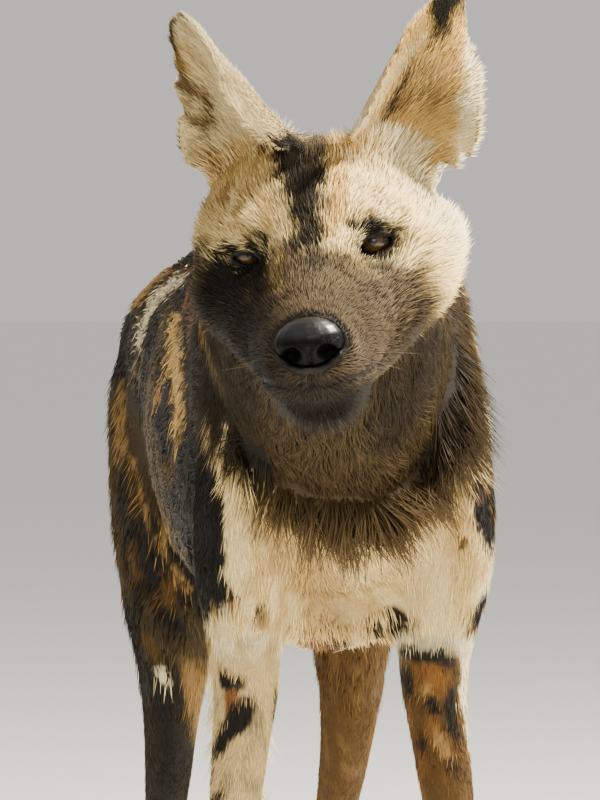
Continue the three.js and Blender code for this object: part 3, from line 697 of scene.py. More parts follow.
def paint_head(p):
    """Cream crown with its stripe, dark cheeks, grizzled muzzle, painted light on the lit side of the
    face and painted shade on the shaded cheek.
    """
    head = p.on("head", "lower_jaw")
    x, y, z = p.head.T
    p.lay("cream", head)
    p.lay("gold", head * step(0.1, 0.9, p.rough + 0.4 * p.fine) * 0.55)
    p.lay("gold", step(30, 75, y) * head * 0.7)
    p.lay("tan", step(60, 105, y) * head)
    p.lay("stripe", head * np.exp(-((x / 20) ** 4)) * step(20, 60, y) * step(10, 40, z))
    p.stroke("gold", head, [(332, 150, 9), (335, 200, 12), (333, 238, 9)], 16, 5, "gold")
    p.stroke("gold", head * 0.5, [(262, 200, 12), (280, 232, 8)], 16, 6)
    # Partly pale cheek hair and partly painted light: the side of the face on the right of the picture is
    # laid white where the light falls on it.
    p.stroke("white", head * 0.85, [(400, 160, 20), (436, 200, 26), (452, 245, 22)], 30, 6)
    shade = head * p.area([(180, 150), (224, 160), (240, 200), (234, 226), (216, 240), (180, 262)], 30, 8)
    p.lay("gold", shade * 0.35)
    p.lay("tan", shade * step(0.2, 0.8, p.rough) * 0.3, "gold")
    p.lay("bib_tip", shade * step(0.7, 1.1, p.fine) * 0.5, "tan")
    p.stroke("bib_tip", head * 0.5, [(214, 208, 2), (232, 204, 3)], 3, 3, "tan")
    side = head * p.area([(180, 246), (216, 250), (230, 300), (236, 430), (180, 430)], 16, 6)
    p.lay("olive", side, "tan")
    p.lay("mask", side * step(290, 335, p.y), "bib")
    muzzle = p.area([(248, 268), (276, 246), (311, 248), (345, 250), (366, 264), (400, 258), (418, 280),
                     (438, 306), (490, 306), (490, 430), (400, 460), (311, 470), (228, 452), (190, 380),
                     (216, 300)], 26, 9)
    p.lay("muzzle", head * step(-25, -50, y) * step(0, -20, z), "grizzle")
    p.lay("muzzle", head * muzzle, "grizzle")
    p.stroke("grizzle", head * 0.45, [(276, 280, 12), (311, 284, 20), (350, 280, 13)], 34, 6, "grizzle")
    p.stroke("gold", head * 0.5, [(278, 262, 4), (276, 284, 4)], 8, 4, "cream")
    p.stroke("gold", head * 0.75, [(424, 282, 9), (440, 302, 10), (446, 320, 8)], 18, 8, "cream")
    p.stroke("bib", head * 0.85, [(368, 262, 7), (390, 280, 12), (400, 300, 10),
                                  (396, 330, 10)], 18, 6, "grizzle")
    p.stroke("bib", head * 0.85, [(366, 330, 14), (400, 350, 24), (470, 356, 30)], 30, 8, "bib_tip")
    # Partly the species' dark mask and partly painted shade: the cheek on the left of the picture, on the
    # face's shaded side, is laid almost black.
    cheek = head * p.area([(210, 256), (262, 262), (266, 284), (256, 304), (262, 330), (276, 352),
                           (280, 384), (262, 430), (222, 430), (200, 372), (196, 300)], 20, 8)
    p.lay("mask", cheek * 0.93, "bib")
    p.stroke("mask", cheek * 0.8, [(236, 290, 16), (246, 340, 20), (258, 390, 20)], 20, 5, "bib")
    p.lay("mask", head * p.line([(262, 384, 14), (311, 392, 14), (366, 394, 14),
                                 (396, 384, 10)], 16, 3) * 0.7, "bib")
    p.lay("black", head * p.line([(256, 396, 2), (311, 399, 3), (366, 397, 2.5),
                                  (392, 382, 2)], 4, 1) * 0.8)
    p.lay("black", head * p.line([(311, 372, 2), (311, 396, 2)], 3, 0.5) * 0.8)
    p.lay("mask", head * step(398, 412, p.y + 3 * p.rough) * p.seen, "bib")
    p.lay("mask", head * step(-64, -70, z) * step(-20, -40, y), "bib")
    p.stroke("mask", head * 0.6, [(352, 264, 4), (364, 270, 6), (386, 268, 4)], 12, 4, "grizzle")
    p.marks(head, 8, 2.2, (
        ("mask", [(262, 238, 4), (270, 246, 5)]),
        ("black", [(222, 260, 6), (232, 248, 5), (252, 246, 5), (267, 254, 6), (264, 262, 7),
         (244, 270, 8)]),
        ("mask", [(222, 268, 8), (234, 282, 14), (228, 304, 14)]),
        ("mask", [(344, 234, 6), (358, 230, 6), (376, 226, 6), (390, 229, 4)]),
        ("black", [(352, 246, 3), (362, 236, 5), (380, 232, 6), (392, 237, 4)]),
        ("mask", [(356, 252, 4), (374, 261, 6), (388, 258, 5), (396, 250, 4)]),
    ))
    p.stroke("gold", head * 0.6, [(352, 258, 2.5), (362, 266, 3)], 4, 1)
    p.stroke("mask", p.on("head"), [(446, 158, 8), (442, 172, 5)], 6, 2)


def paint_ears(p):
    """Pale and dark sheets of the two ears, with a painted shadow line along the left ear's inner margin.
    """
    ears = p.on("ear")
    p.lay("stripe", ears, "bib")
    p.lay("bib_tip", ears * step(0, 0.5, p.rough) * 0.6)
    for side in EAR_OUTLINES:
        p.lay("gold", p.on("ear_" + side) * ear_rim(p.co, side), "cream")
    right = p.on("ear_right") * step(-0.75, -0.45, p.turn)
    p.lay("cream", right, "white")
    p.stroke("grizzle", right * 0.35, [(196, 30, 6), (216, 70, 8), (236, 106, 8)], 14, 8, "cream")
    p.stroke("gold", right, [(180, 54, 8), (190, 76, 8)], 8, 4)
    p.stroke("bib_tip", right * 0.7, [(178, 40, 3), (182, 76, 5)], 8, 4, "tan")
    p.stroke("bib_tip", right, [(182, 84, 8), (196, 104, 13), (208, 128, 11)], 14, 8, "tan")
    p.stroke("tan", right * 0.8, [(192, 140, 8), (204, 160, 10)], 12, 6, "cream")
    p.stroke("mask", right, [(186, 6, 6), (172, 18, 8), (170, 54, 5)], 7, 3, "bib_tip")
    p.stroke("cream", right, [(240, 118, 10), (296, 140, 12)], 14, 5, "white")
    left = p.on("ear_left") * step(-0.75, -0.45, p.turn)
    p.lay("gold", left)
    p.lay("tan", left * step(0.3, 0.9, p.rough) * 0.6)
    dim = p.area([(424, 60), (444, 76), (436, 116), (412, 116), (392, 112), (402, 84)], 18, 8)
    p.lay("grizzle", left * dim * 0.7, "gold")
    p.stroke("bib_tip", left * 0.5, [(414, 70, 4), (404, 100, 5), (396, 118, 4)], 10, 5, "tan")
    p.lay("mask", p.on("ear_left") * p.area([(415, -40), (490, -40), (480, 18), (452, 28),
                                             (428, 48)], 22, 9), "bib")
    # Painted shadow: a thin dark line along the left ear's inner margin, where the margin shades the cup.
    p.stroke("stripe", left * 0.8, [(432, 26, 2), (418, 48, 2), (408, 62, 1.5)], 6, 2, "bib_tip")
    p.stroke("stripe", left, [(414, 58, 1.5), (400, 90, 2.5), (378, 132, 3)], 4, 1.5, "bib_tip")
    p.stroke("cream", left, [(426, 36, 2), (398, 68, 6), (378, 96, 9), (350, 126, 14)], 5, 2)
    p.stroke("grizzle", left * 0.45, [(418, 42, 3), (396, 74, 4)], 6, 3, "cream")
    p.stroke("white", left, [(470, 40, 8), (472, 90, 12), (464, 138, 14)], 8, 4)
    p.stroke("white", left, [(356, 116, 8), (380, 140, 10), (420, 150, 8)], 12, 5)
    p.stroke("mask", left, [(450, 166, 6)], 6, 2)
    p.lay("cream", p.on("ear_left") * step(128, 142, p.y) * step(446, 454, p.x), "white")


def paint_stripe(p):
    """The dark stripe from between the ears down to between the eyes."""
    p.stroke("stripe", p.on("head", "ear"), [
        (308, 112, 22), (307, 140, 23), (300, 160, 26), (302, 181, 23), (305, 201, 22), (308, 222, 18),
        (310, 240, 14), (312, 262, 8),
    ], 14, 5, "muzzle")
    p.stroke("bib_tip", p.on("head") * 0.55, [(306, 124, 16), (306, 156, 14)], 22, 5, "grizzle")


def paint(co, normals, node):
    """The colour at the root and at the tip of the hair, for points of the skin."""
    p = Painter(bpy.context.scene.wild_dog_colours, co, normals, node)
    paint_species(p)
    paint_trunk(p)
    paint_legs(p)
    paint_bib(p)
    paint_head(p)
    paint_ears(p)
    paint_stripe(p)
    return p.colour, p.tip


# Materials -----------------------------------------------------------------------------------


class Value:
    """A socket that takes part in Python expressions."""

    def __init__(self, shader, socket):
        self.shader = shader
        self.socket = socket

    def _math(self, operation, *others):
        return self.shader.node("ShaderNodeMath", {"operation": operation}, dict(enumerate(others)))

    def __add__(self, other):
        return self._math("ADD", self, other)

    def __sub__(self, other):
        return self._math("SUBTRACT", self, other)

    def __rsub__(self, other):
        return self._math("SUBTRACT", other, self)

    def __mul__(self, other):
        return self._math("MULTIPLY", self, other)

    def __pow__(self, other):
        return self._math("POWER", self, other)

    __radd__ = __add__
    __rmul__ = __mul__


class Shader:
    """One material's nodes, ending in a principled surface."""

    def __init__(self, name):
        self.material = bpy.data.materials.new(name)
        self.material.use_nodes = True
        self.tree = self.material.node_tree
        self.surface = self.tree.nodes["Principled BSDF"]

    def node(self, kind, settings=None, inputs=None, output=0):
        """Any node: its settings first, then the values or links of its sockets."""
        node = self.tree.nodes.new(kind)
        for key, value in (settings or {}).items():
            setattr(node, key, value)
        for key, value in (inputs or {}).items():
            self.put(node.inputs[key], value)
        return Value(self, node.outputs[output])

    def put(self, socket, value):
        """A link or a constant into a socket."""
        if isinstance(value, Value):
            self.tree.links.new(value.socket, socket)
        elif value is not None:
            socket.default_value = value

    def attribute(self, name, output="Fac"):
        """A value or colour that the mesh carries."""
        return self.node("ShaderNodeAttribute", {"attribute_name": name}, output=output)

    def place(self):
        """Object coordinates."""
        return self.node("ShaderNodeTexCoord", output="Object")

    def noise(self, scale, detail=3.0, vector=None):
        """Soft noise, in object coordinates unless others are given."""
        inputs = {"Vector": vector or self.place(), "Scale": scale, "Detail": detail, "Roughness": 0.55}
        return self.node("ShaderNodeTexNoise", None, inputs)

    def spread(self, value, low, high, to_low=0.0, to_high=1.0):
        """A smooth step of a value from one range into another."""
        inputs = {0: value, 1: low, 2: high, 3: to_low, 4: to_high}
        return self.node("ShaderNodeMapRange", {"interpolation_type": "SMOOTHSTEP"}, inputs)

    def mix(self, amount, first, second, kind="MIX"):
        """Two colours mixed or multiplied."""
        inputs = {0: amount, 6: first, 7: second}
        return self.node("ShaderNodeMix", {"data_type": "RGBA", "blend_type": kind}, inputs, 2)

    def bump(self, height, strength, distance):
        """A relief of the surface for its Normal."""
        inputs = {"Height": height, "Strength": strength, "Distance": distance}
        return self.node("ShaderNodeBump", None, inputs)

    def finish(self, **sockets):
        """Fills the surface's own sockets and returns the material."""
        for name, value in sockets.items():
            self.put(self.surface.inputs[name.replace("_", " ")], value)
        return self.material


def grey(value):
    """A grey of one light value."""
    return (value, value, value, 1.0)


def coat_material():
    """Hair that is darker at its root and takes its colour from the markings."""
    s = Shader("coat")
    along = s.attribute("along")
    tone = s.attribute("tone")
    colour = s.mix(along ** 1.6, s.attribute("coat_colour", "Color"), s.attribute("tip_colour", "Color"))
    light = (along * 0.50 + 0.62) * (tone * 0.5 + 0.76)
    shade = s.node("ShaderNodeCombineColor", None, {0: light, 1: light * 0.985, 2: light * 0.92})
    base = s.mix(1.0, colour, shade, "MULTIPLY")
    rough = s.spread(tone, 0, 1, 0.55, 0.72)
    return s.finish(Base_Color=base, Roughness=rough, Specular_IOR_Level=0.11)


def skin_material():
    """Short hair close to the skin, as a fine grain under the tufts."""
    s = Shader("skin")
    grain = s.noise(820, 4)
    patch = s.noise(90, 3)
    light = grain * 0.6 + patch * 0.25 + 0.16
    shade = s.node("ShaderNodeCombineColor", None, {0: light, 1: light, 2: light})
    base = s.mix(1.0, s.attribute("coat_colour", "Color"), shade, "MULTIPLY")
    bare = s.attribute("bare")
    base = s.mix(bare, base, (*bpy.context.scene.wild_dog_colours.leather, 1))
    rough = s.spread(bare, 0, 1, 0.8, 0.5)
    normal = s.bump(grain, 0.5, 0.0012)
    return s.finish(Base_Color=base, Roughness=rough, Normal=normal, Specular_IOR_Level=0.2)


def eye_material():
    """Amber iris with its fibres, round pupil, dark rim and a wet surface."""
    colours = bpy.context.scene.wild_dog_colours
    s = Shader("eye")
    radius = s.attribute("radius")
    fibres = s.noise(9.0, 3, s.attribute("around", "Vector"))
    amber = (*colours.amber, 1)
    pale = tuple(min(1.0, c * 1.7) for c in colours.amber) + (1,)
    iris = s.mix(s.spread(fibres, 0.35, 0.65), amber, pale)
    iris = s.mix(s.spread(radius, 0.46, 0.70), iris, (*[c * 0.22 for c in colours.amber], 1))
    white = s.mix(s.noise(300), *EYE_WHITES)
    ball = s.mix(s.spread(radius, 0.70, 0.78), iris, white)
    base = s.mix(s.spread(radius, 0.225, 0.25), PUPIL, ball)
    rough = s.spread(fibres, 0.2, 0.8, 0.06, 0.11)
    return s.finish(Base_Color=base, Roughness=rough, Specular_IOR_Level=0.35)


def nose_material():
    """Moist pebbled leather."""
    s = Shader("nose_leather")
    settings = {"feature": "DISTANCE_TO_EDGE"}
    cells = s.node("ShaderNodeTexVoronoi", settings, {"Vector": s.place(), "Scale": 620.0})
    edge = s.spread(cells, 0.0, 0.22)
    colour = (*bpy.context.scene.wild_dog_colours.leather, 1)
    base = s.mix(s.noise(200), colour, grey(0.003))
    base = s.mix(s.attribute("hollow"), base, grey(0.002))
    rough = s.spread(s.noise(260), 0.3, 0.7, 0.36, 0.5) + s.attribute("hollow") * 0.5
    normal = s.bump(edge, 0.35, 0.0006)
    moist = s.attribute("moist") * 0.95
    return s.finish(Base_Color=base, Roughness=rough, Normal=normal, Specular_IOR_Level=0.05,
                    Coat_Weight=moist, Coat_Roughness=0.34)


def claw_material():
    """Dark horn with fine growth lines."""
    s = Shader("claw")
    colour = (*bpy.context.scene.wild_dog_colours.horn, 1)
    lines = s.noise(500, 2)
    base = s.mix(s.spread(lines, 0.3, 0.7), colour, HORN_LINES)
    rough = s.spread(lines, 0, 1, 0.3, 0.5)
    return s.finish(Base_Color=base, Roughness=rough, Normal=s.bump(lines, 0.2, 0.0004))


def floor_material():
    """Pale matt ground."""
    s = Shader("floor")
    base = s.mix(s.noise(3), *FLOOR_TONES)
    return s.finish(Base_Color=base, Roughness=s.spread(s.noise(40), 0.3, 0.7, 0.7, 0.85))


# Skin ----------------------------------------------------------------------------------------

EYES = {
    # Which way the lids open from the ball's middle, seen by the viewer, in mm; half width, upper and
    # lower half height and tilt of the opening.
    "right": {"aim": (-1.4, -1.4), "width": 9.0, "upper": 1.7, "lower": 4.0, "tilt": -6.0},
    "left": {"aim": (1.4, -1.6), "width": 11.0, "upper": 3.6, "lower": 5.6, "tilt": 7.0},
}
EYE_RADIUS = 10.6
CORNEA = 0.0011
LID_RINGS = 15
LID_SEGMENTS = 72
# How far the lids reach over the face, their gap at the opening, and the distance from the ball's middle
# of their inner end, of their rim and of their outside, in mm.
LID_REACH = 17.0
LID_GAP = 0.35
LID_INSIDE = 7.5
LID_RIM = 11.6
LID_OUTSIDE = 12.7
# Where the skin is pressed in behind the lids, in mm from the line out of the eye: wholly up to the
# first distance and less up to the second, not beyond the third. The lids cover it up to the last.
SUNK_WHOLLY = 13.5
SUNK_LESS = 18.0
SUNK_END = 21
COVERED_END = 20

# Middle of the nose pad in the head's own frame, in mm, and how wide its ellipse is for its height.
NOSE_HEIGHT = -38.0
NOSE_WIDTH = 1.4

# The part of the head with the finer skin, in its own frame: in front of and above these, in mm, and
# so far to each side, in metres.
FACE_BACK = 12
FACE_LOW = -100
FACE_SIDE = 0.07


def eye_frame(side):
    """The ball's middle and the axes of its lids: across, up and out."""
    low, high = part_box("eye_" + side)
    middle = (low + high) / 2
    dx, dz = EYES[side]["aim"]
    out = (-FORWARD * EYE_RADIUS + RIGHTWARD * dx + Vector((0, 0, dz))).normalized()
    head_up = (HEAD.to_3x3() @ Vector((0, 0, 1))).normalized()
    across = head_up.cross(out).normalized()
    return middle, across, out.cross(across).normalized(), out


def lid_edge(side, angle):
    """A point of the lids' opening, in mm, across and up."""
    eye = EYES[side]
    height = eye["upper"] if math.sin(angle) > 0 else eye["lower"]
    x = eye["width"] * math.cos(angle)
    y = height * math.copysign(abs(math.sin(angle)) ** 1.15, math.sin(angle))
    tilt = math.radians(eye["tilt"])
    return x * math.cos(tilt) - y * math.sin(tilt), x * math.sin(tilt) + y * math.cos(tilt)


def lids(bm, side, tree):
    """Both lids of an eye as rings from behind the rim out onto the face."""
    middle, across, up, out = eye_frame(side)
    last = None
    for k in range(LID_RINGS):
        reach = LID_REACH * max(0.0, (k - 2) / (LID_RINGS - 3)) ** 1.25
        ring = bmesh.ops.create_circle(bm, segments=LID_SEGMENTS, radius=1.0)["verts"]
        for v in ring:
            angle = math.atan2(v.co.y, v.co.x)
            x, y = lid_edge(side, angle)
            dx, dy = math.cos(angle), math.sin(angle)
            if k == 0:
                x, y, ball = x * 0.9, y * 0.9, LID_INSIDE
            elif k == 1:
                ball = LID_RIM
            else:
                x, y = x + dx * (reach + LID_GAP), y + dy * (reach + LID_GAP)
                ball = LID_OUTSIDE
            upper = max(0.0, dy) * math.exp(-(((reach - 5.2) / 1.5) ** 2))
            ball += 0.9 * math.exp(-(((reach - 2.2) / 2.2) ** 2)) - 1.5 * upper
            far = math.hypot(x, y)
            depth = math.sqrt(max(ball * ball - far * far, 0.0)) if far < ball else 0.0
            if k > 2:
                origin = middle + (across * x + up * y + out * 60) / 1000
                hit = tree.ray_cast(origin, -out, 0.12)[0]
                face = (hit - middle).dot(out) * 1000 if hit else depth
                share = float(step(2.0, 10.0, reach))
                brow = 1.6 * max(0.0, dy) * math.exp(-(((reach - 9.0) / 3.0) ** 2))
                face += brow
                depth = blend(max(depth, face - 6.0), face + 0.3, share)
                if k == LID_RINGS - 1:
                    depth = face - 1.6
            v.co = middle + (across * x + up * y + out * depth) / 1000
        edges = list({e for v in ring for e in v.link_edges})
        if last:
            bmesh.ops.bridge_loops(bm, edges=last + edges)
        last = edges


def add_form(whole, part):
    """Puts one bmesh into another and frees it."""
    mesh = bpy.data.meshes.new("part")
    part.to_mesh(mesh)
    part.free()
    whole.from_mesh(mesh)
    bpy.data.meshes.remove(mesh)


def flesh_form():
    """All the flesh of the solids in one bmesh, with the plain neck and tail under their locks."""
    whole = bmesh.new()
    for node in FLESH + ["eye_right", "eye_left"]:
        if node in ("neck", "tail_brush"):
            continue
        add_form(whole, merged(node, 0.0006))
    for rows in (NECK_ROWS, TAIL_ROWS):
        add_form(whole, loft(rows))
    return whole


def nearest_nodes(co):
    """The flesh node that each point lies nearest to."""
    verts, faces, owner = [], [], []
    for k, node in enumerate(FLESH):
        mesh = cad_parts[node].data
        start = len(verts)
        verts += [v.co.copy() for v in mesh.vertices]
        faces += [[start + i for i in p.vertices] for p in mesh.polygons]
        owner += [k] * len(mesh.polygons)
    tree = BVHTree.FromPolygons(verts, faces)
    return np.array([owner[tree.find_nearest(Vector(c))[2]] for c in co])


def joins(node, edges, spread):
    """1 where two parts of the flesh meet, fading to 0 away from it."""
    part = np.array([JOINED[name] for name in FLESH])[node]
    meet = np.zeros(len(node))
    crossing = edges[part[edges[:, 0]] != part[edges[:, 1]]]
    meet[crossing.ravel()] = 1.0
    near = averaged(meet, edges, spread)
    return step(0.02, 0.12, near)


def shape_face(co, normals):
    """Folds of the face, pressed into the skin: the mouth and the groove below the nose."""
    x, y, z = into_head(co).T
    line = -62 - 0.05 * (y + 75) + 1.5 * np.cos(x / 14)
    ahead = step(-18, -34, y)
    mouth = np.exp(-(((z - line) / 3.0) ** 2)) * ahead
    crease = np.exp(-((x / 2.2) ** 2)) * step(-96, -104, y) * step(-50, -56, z) * step(-72, -66, z)
    depth = 0.0022 * mouth + 0.0015 * crease
    return co - normals * depth[:, None]


def ear_rim(co, side):
    """1 at the edge of an ear as the viewer sees it, 0 in its middle."""
    x, y = in_picture(co)
    return step(15, 3, np.abs(to_outline(x, y, EAR_OUTLINES[side])))


def away_from_outline(co, side):
    """From the middle of an ear out to its edge, as the viewer sees it."""
    x, y = in_picture(co)
    outline = np.array(EAR_OUTLINES[side], float)
    level = np.clip(y, outline[:, 1].min() + 12, outline[:, 1].max())
    low, high = level * 0 + 1e9, level * 0 - 1e9
    for (ax, ay), (bx, by) in zip(outline, np.roll(outline, -1, 0)):
        if ay == by:
            continue
        t = (level - ay) / (by - ay)
        cross = ax + (bx - ax) * t
        on = (t >= 0) & (t <= 1)
        low, high = np.where(on, np.minimum(low, cross), low), np.where(on, np.maximum(high, cross),
        high)
    across = np.clip((x - (low + high) / 2) / np.maximum((high - low) / 2, 6), -1, 1)
    return across[:, None] * np.array(RIGHTWARD)


def coat_plan(co, normals, node, sizes):
    """Length, width, lift, tufts to a square centimetre and depth of the hair at each point."""
    x, y, z = into_head(co).T
    across, level = in_picture(co)
    names = np.array(FLESH)[node]

    def named(start, end=""):
        return np.char.startswith(names, start) & np.char.endswith(names, end)

    legs = named("foreleg") | named("hindleg")
    plan = np.zeros((5, len(co)))
    for part, mask in (
        ("trunk", named("")),
        ("leg", legs),
        ("haunch", named("hindleg", "upper")),
        ("shin", legs & named("", "lower")),
        ("paw", named("", "paw")),
        ("neck", names == "neck"),
        ("tail", named("tail")),
        ("brush", names == "tail_brush"),
        ("ear", named("ear")),
        ("chest", (names == "torso") & (co[:, 1] < -0.10)),
    ):
        size, share, *rest = HAIR[part]
        plan[:, mask] = np.array([getattr(sizes, size) * share, *rest])[:, None]
    head = (names == "head") | (names == "lower_jaw")
    back = step(-55, 10, y)
    nape = step(50, 90, y)
    cheek = step(30, 62, np.abs(x)) * step(-60, -20, y)
    hair = blend(sizes.face_hair, sizes.crown_hair, back)
    hair = blend(hair, sizes.cheek_hair, cheek * step(30, -10, z) * step(-95, -55, z))
    hair = blend(hair, sizes.cheek_hair * 0.9, nape)
    raised = blend(18, 22, np.maximum(cheek, back * 0.6))
    many = blend(blend(70, 56, back), 20, nape)
    off_nose = np.maximum(step(24, 42, np.hypot(x, z - NOSE_HEIGHT)), step(-90, -75, y))
    sunk = blend(0.0028, 0.0062, cheek * step(60, 30, z)) * off_nose
    plan[:, head] = np.array((hair, blend(0.0007, 0.0009, back), raised, many, sunk))[:, head]
    length, width, lift, density, depth = plan
    outer = step(446, 462, across) * step(34, 70, level)
    for side in EAR_OUTLINES:
        rim = ear_rim(co, side) * (names == "ear_" + side)
        length = blend(length, sizes.fringe_hair * blend(0.3, 1.0, outer), rim)
        lift = blend(lift, 9, rim)
    bib = step(-14, 6, to_outline(across, level, BIB_OUTLINE)) * (normals[:, 1] < 0.1) * (co[:, 1] < 0.0)
    bib *= (names == "torso") | (names == "neck") | named("", "upper")
    ahead = step(0.35, 0.85, -normals[:, 1])
    length = blend(length, sizes.bib_hair * blend(0.42, 1.0, ahead), bib)
    width = blend(width, 0.00095, bib)
    density = blend(density, 34, bib)
    lift = blend(lift, blend(11, 23, ahead), bib)
    depth = blend(depth, 0.0, bib)
    chin = (names == "lower_jaw") & (z < -76)
    length[chin], lift[chin] = sizes.bib_hair * 0.42, 26
    return length, width, lift, density, depth


def hair_flow(co, normals, node):
    """Which way the hair lies at each point, along the skin."""
    names = np.array(FLESH)[node]
    rotation = np.array(HEAD.to_3x3())
    local = into_head(co)
    flow = np.tile((0.0, 1.0, -0.42), (len(co), 1))
    legs = np.char.startswith(names, "foreleg") | np.char.startswith(names, "hindleg")
    flow[legs] = (0, 0.25, -1)
    flow[np.char.endswith(names, "paw")] = (0, -1, -0.3)
    neck = names == "neck"
    fan = (co[:, 0] + 0.035) / 0.10
    flow[neck] = np.stack([fan * 0.75, 0.35 + 0 * fan, -1 + 0.2 * np.abs(fan)], 1)[neck]
    above = neck & (normals[:, 2] > 0.35)
    flow[above] = (0.1, 1, -0.4)
    chest = (names == "torso") & (normals[:, 1] < -0.3)
    flow[chest] = np.stack([fan * 0.35, 0 * fan, -1 + 0 * fan], 1)[chest]
    tail = np.char.startswith(names, "tail")
    flow[tail] = (0, 0.15, -1)
    head = (names == "head") | (names == "lower_jaw")
    radial = local - np.array((0, -118, -48))
    radial[:, 2] += 22 * step(-30, 40, local[:, 1])
    flow[head] = (unit(radial) @ rotation.T)[head]
    for side, sign in (("right", -1), ("left", 1)):
        ear = names == "ear_" + side
        root = np.array((sign * 38, 45, 50))
        flow[ear] = (unit(local - root + (0, 0, 20)) @ rotation.T)[ear]
        flow[ear] += (ear_rim(co, side)[:, None] * away_from_outline(co, side))[ear]
    flow += 0.16 * np.stack([wave(co, 0.03, 31), wave(co, 0.03, 32), wave(co, 0.03, 33)], 1)
    return unit(flow - normals * np.sum(flow * normals, 1)[:, None])


def box_map(co, normals, group, limits, columns):
    """Six flat views of each part of the skin, side by side: an unwrap of its own shape."""
    axis = np.argmax(np.abs(normals), 1)
    facing = axis * 2 + (normals[np.arange(len(co)), axis] > 0)
    first = np.where(axis == 0, 1, 0)
    second = np.where(axis == 2, 1, 2)
    rows = np.arange(len(co))
    low, size = limits[group, 0], limits[group, 1] - limits[group, 0]
    place = (co - low) / size * 0.92 + 0.04
    u, v = place[rows, first], place[rows, second]
    tile = group * 6 + facing
    return np.stack([(tile % columns + np.clip(u, 0.01, 0.99)) / columns,
                     (tile // columns + np.clip(v, 0.01, 0.99)) / columns], 1)


def group_limits(co, group):
    """Lowest and highest corner of each group of points."""
    return np.array([
        (co[group == k].min(0), co[group == k].max(0)) if np.any(group == k) else ((0, 0, 0), (1, 1, 1))
        for k in range(len(GROUP_NAMES))
    ])


def split_face(mesh):
    """Splits the skin once more on the front of the head, where lids and lips need it."""
    inverse = HEAD.inverted()

    def on_face(v):
        place = inverse @ v.co
        return place.y * 1000 < FACE_BACK and place.z * 1000 > FACE_LOW and abs(place.x) < FACE_SIDE

    bm = bmesh.new()
    bm.from_mesh(mesh)
    fine = [e for e in bm.edges if all(on_face(v) for v in e.verts)]
    bmesh.ops.subdivide_edges(bm, edges=fine, cuts=1, use_grid_fill=True)
    bmesh.ops.triangulate(bm, faces=[f for f in bm.faces if len(f.verts) > 4])
    bm.to_mesh(mesh)
    bm.free()


def fitted(mesh, sizes):
    """The skin's points, smoothed, sunk below the hair and folded at the mouth."""
    edges, tris = edges_of(mesh), triangles_of(mesh)
    co = averaged(points_of(mesh), edges, 24, SMOOTH)
    node = nearest_nodes(co)
    normals = normals_of(co, tris)
    depth = averaged(coat_plan(co, normals, node, sizes)[4], edges, 12)
    co = averaged(co - normals * depth[:, None], edges, 6, SMOOTH)
    soft = joins(node, edges, 16)[:, None]
    co = blend(co, averaged(co, edges, 36), soft)
    normals = averaged(normals_of(co, tris), edges, 2)
    return shape_face(co, unit(normals))


def sunk_behind_lids(co):
    """Points with the skin pressed in behind the lids, and 1 where the lids cover it."""
    covered = np.zeros(len(co))
    for side in EYES:
        middle, _, _, out = (np.array(a) for a in eye_frame(side))
        away = (co - middle) * 1000
        ahead = away @ out
        apart = np.linalg.norm(away - ahead[:, None] * out, axis=1)
        near = (ahead > -6) & (apart < 26)
        cap = blend(np.full(len(co), 1.0), ahead - 0.9, step(SUNK_WHOLLY, SUNK_LESS, apart))
        cap = np.where(apart > SUNK_END, ahead, cap)
        move = np.where(near, np.minimum(cap, ahead) - ahead, 0.0)
        co = co + out * (move / 1000)[:, None]
        covered = np.maximum(covered, np.where(near & (apart < COVERED_END), 1.0, 0.0))
    return co, covered


def add_lids(mesh, patches):
    """Puts the lids into the skin's mesh, marked as -1 in its covered attribute."""
    bm = bmesh.new()
    bm.from_mesh(mesh)
    layer = bm.verts.layers.float["covered"]
    start = len(bm.verts)
    add_form(bm, patches)
    bm.verts.ensure_lookup_table()
    for v in bm.verts[start:]:
        v[layer] = -1.0
    bmesh.ops.triangulate(bm, faces=[f for f in bm.faces if len(f.verts) > 4])
    bm.to_mesh(mesh)
    bm.free()


def map_skin(mesh, co, normals, group):
    """Gives the skin its unwrap, one flat view for each face."""
    corners = np.zeros(len(mesh.loops), np.int32)
    mesh.loops.foreach_get("vertex_index", corners)
    counts = np.zeros(len(mesh.polygons), np.int32)
    mesh.polygons.foreach_get("loop_total", counts)
    face = np.repeat(np.arange(len(counts)), counts)
    face_normal = np.stack([np.bincount(face, normals[corners, a]) for a in range(3)], 1)
    first = corners[np.concatenate([[0], np.cumsum(counts)[:-1]])]
    limits = group_limits(co, group)
    place = box_map(co[corners], face_normal[face], group[first][face], limits, 7)
    layer = mesh.uv_layers.new(name=BAKE_MAP)
    layer.data.foreach_set("uv", place.astype(np.float32).ravel())


